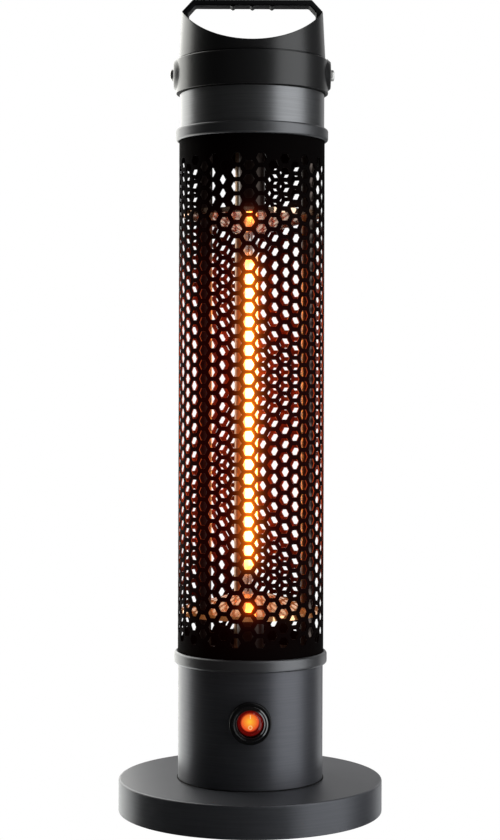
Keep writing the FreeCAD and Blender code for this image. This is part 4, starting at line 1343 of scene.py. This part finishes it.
@dataclass
class Gland:
    """Cable gland in the back of the column."""

    level: float = 45.0
    foot: float = 59.3
    flange: float = 5.0
    flats: float = 22.0
    corner: float = 1.12
    cap_radius: float = 10.5
    cap_taper: Pair = (1.6, 4.0)
    bore: float = 8.05
    tip: float = 79.3
    barrel: float = 8.0
    cord_bore: float = 3.75
    inside: float = 46.0
    body_sides: int = 120
    cap_sides: int = 192
    grips: int = 16
    grip_depth: float = 0.06
    grip_end: float = 2.5

    def build(self) -> None:
        """Hexagonal body and a grooved cap.

        The body's flange is a hexagon with its corners cut round. The cap's radius falls by a share of
        (1 + cos(n t)) / 2 to the power of 4 for its n grooves.
        """
        shoulder, flat = self.foot + self.flange, self.flats / 2
        outline = rounded([
            (self.cord_bore, self.inside, 0.3), (self.barrel, self.inside, 0.4), (self.barrel, self.foot, 0),
            (flat, self.foot, 0.3), (flat, shoulder, 0.5), (self.barrel, shoulder, 0), (self.barrel, self.tip, 0.6),
            (self.cord_bore, self.tip, 0.8)], 4)
        body = turned(outline, self.body_sides)
        wide = outline[:, 0] > self.barrel + 0.01
        body[wide, :, :2] *= np.minimum(hexagon(around(self.body_sides)), self.corner)[:, None]
        inset, length = self.cap_taper
        outline = rounded([
            (self.bore, shoulder, 0), (self.cap_radius, shoulder, 0.5), (self.cap_radius, self.tip - length, 1.5),
            (self.cap_radius - inset, self.tip, 1.2), (self.bore, self.tip, 0.2)], 5)
        cap = turned(outline, self.cap_sides)
        groove = self.grip_depth * ((1 + np.cos(self.grips * around(self.cap_sides))) / 2) ** 4
        grip = (outline[:, 0] > self.bore + 0.5) & (outline[:, 1] < self.tip - self.grip_end)
        cap[grip, :, :2] *= 1 - groove[:, None]
        for name, node, grid in (("gland_hex_body", "gland_body", body), ("gland_grip_cap", "gland_cap", cap)):
            fit(Skin().fitting(grid, Side.BACK, self.level), name, "switch_plastic", [node])


@dataclass(frozen=True)
class Panel:
    """Soft box: a rectangle of light that faces the heater."""

    name: str
    place: Triple
    size: Pair
    power: float
    aim: Triple
    colour: Colour = WHITE

    def build(self) -> None:
        """Hang the panel and turn it to what it lights."""
        light = bpy.data.lights.new(self.name, "AREA")
        light.shape, light.energy, light.color = "RECTANGLE", self.power, self.colour
        light.size, light.size_y = self.size
        hung = shown(self.name, light)
        way = Vector(self.aim) - Vector(self.place)
        hung.matrix_world = Matrix.Translation(self.place) @ way.to_track_quat("-Z", "Y").to_matrix().to_4x4()
        hung.visible_camera = False


@dataclass(frozen=True)
class Halo:
    """Glow that the lens lays around what is much brighter than white."""

    strength: float
    size: float
    tint: Colour
    threshold: float = 1.2
    most: float = 9.0

    def over(self, graph: Graph, picture: Value) -> Value:
        """Picture with the glow laid over it."""
        return graph.node("CompositorNodeGlare", {"glare_type": "BLOOM"}, {
            "Image": picture, "Threshold": self.threshold, "Strength": self.strength, "Size": self.size,
            "Clamp": True, "Maximum": self.most, "Tint": (*self.tint, 1.0)}, "Image")


@dataclass
class Studio:
    """Pale floor, soft boxes and the camera."""

    floor_half: float = 6.0
    floor_level: float = -0.0002
    sheen: Colour = (0.8, 0.82, 0.84)
    sheen_roughness: float = 0.12
    camera_place: Triple = (-0.00104, -1.5257, 0.3475)
    lens: float = 81.35
    sensor: float = 36.0
    shift: float = -0.05
    roll: float = 0.171
    surround: float = 0.035
    panels: tuple[Panel, ...] = (
        Panel("left_panel", (-0.241, 0.225, 0.55), (0.336, 1.1), 3.4, (0.0, 0.0, 0.55), (1.0, 1.0, 0.95)),
        Panel("right_panel", (0.2814, -0.1724, 0.55), (0.3, 1.1), 1.95, (0.0, 0.0, 0.55), (0.97, 0.99, 1.0)),
        Panel("back_panel", (0.3, 2.2, 1.28), (3.0, 1.9), 11.5, (0.3, 0.0, 1.28)),
        Panel("low_panel", (0.3, 0.3, 0.1), (0.2, 0.2), 0.1, (0.0, 0.0, 0.06)),
    )
    halos: tuple[Halo, ...] = (Halo(0.16, 0.3, (1.0, 0.06, 0.03)), Halo(0.34, 0.05, (1.0, 0.74, 0.2)))

    def floor(self) -> None:
        """Pale floor that is white to the eye and gives the soft boxes back to the underside of things."""
        half, z = self.floor_half, self.floor_level
        mesh = bpy.data.meshes.new("studio_floor")
        mesh.from_pydata([(-half, -half, z), (half, -half, z), (half, half, z), (-half, half, z)], [], [(0, 1, 2, 3)])
        finish = bpy.data.materials.new("pale_floor")
        graph = Graph(finish)
        seen = graph.node("ShaderNodeLightPath", {}, {}, "Is Camera Ray")
        sheen = graph.surface({
            "Base Color": (*self.sheen, 1.0), "Metallic": 1.0, "Roughness": self.sheen_roughness})
        white = graph.node("ShaderNodeEmission", {}, {"Color": (*WHITE, 1.0)})
        graph.end(graph.node("ShaderNodeMixShader", {}, {0: seen, 1: sheen, 2: white}))
        mesh.materials.append(finish)
        floor = shown("studio_floor", mesh)

    def air(self) -> None:
        """White surroundings for the eye, dim ones for reflections."""
        world = bpy.data.worlds.new("studio_air")
        bpy.context.scene.world = world
        graph = Graph(world)
        seen = graph.node("ShaderNodeLightPath", {}, {}, "Is Camera Ray")
        bright = graph.node("ShaderNodeMapRange", {}, {"Value": seen, "To Min": self.surround, "To Max": 1.0})
        air = graph.node("ShaderNodeBackground", {}, {"Color": (*WHITE, 1.0), "Strength": bright})
        graph.end(air, "ShaderNodeOutputWorld")

    def camera(self) -> None:
        """Level camera in front, its picture shifted down and rolled by a fraction of a degree."""
        data = bpy.data.cameras.new("eye")
        data.lens, data.sensor_width, data.shift_y = self.lens, self.sensor, self.shift
        eye = shown("eye", data)
        eye.matrix_world = (
            Matrix.Translation(self.camera_place) @ Matrix.Rotation(math.pi / 2, 4, "X")
            @ Matrix.Rotation(math.radians(self.roll), 4, "Z"))
        bpy.context.scene.camera = eye

    def bloom(self) -> None:
        """Soft glow around what is much brighter than white."""
        scene = bpy.context.scene
        scene.view_settings.view_transform = "Standard"
        graph = Graph(scene)
        picture = graph.node("CompositorNodeRLayers", {}, {}, "Image")
        for halo in self.halos:
            picture = halo.over(graph, picture)
        graph.end(picture, "CompositorNodeComposite")

    def build(self) -> None:
        """Set up everything around the heater."""
        self.floor()
        self.air()
        self.camera()
        self.bloom()
        for panel in self.panels:
            panel.build()


def dress_solids() -> None:
    """Give every solid that shows as it is its own finish or the finish of its slot."""
    for name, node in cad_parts.items():
        slot = node.data.materials[0].name.split(".")[0]
        finish = finish_of(name, slot)
        node.material_slots[0].material = finish.material()
        LOG.info("%s: solid in %s", name, finish.name)


def main() -> None:
    """Build the heater's pieces and the studio."""
    logging.basicConfig(level=logging.INFO, format="%(message)s")
    dress_solids()
    for assembly in (Base(), Bodies(), Guard(), Lamp(), Hood(), Switch(), Gland(), Studio()):
        LOG.info("building %s", type(assembly).__name__)
        assembly.build()


if __name__ == "__main__":
    main()
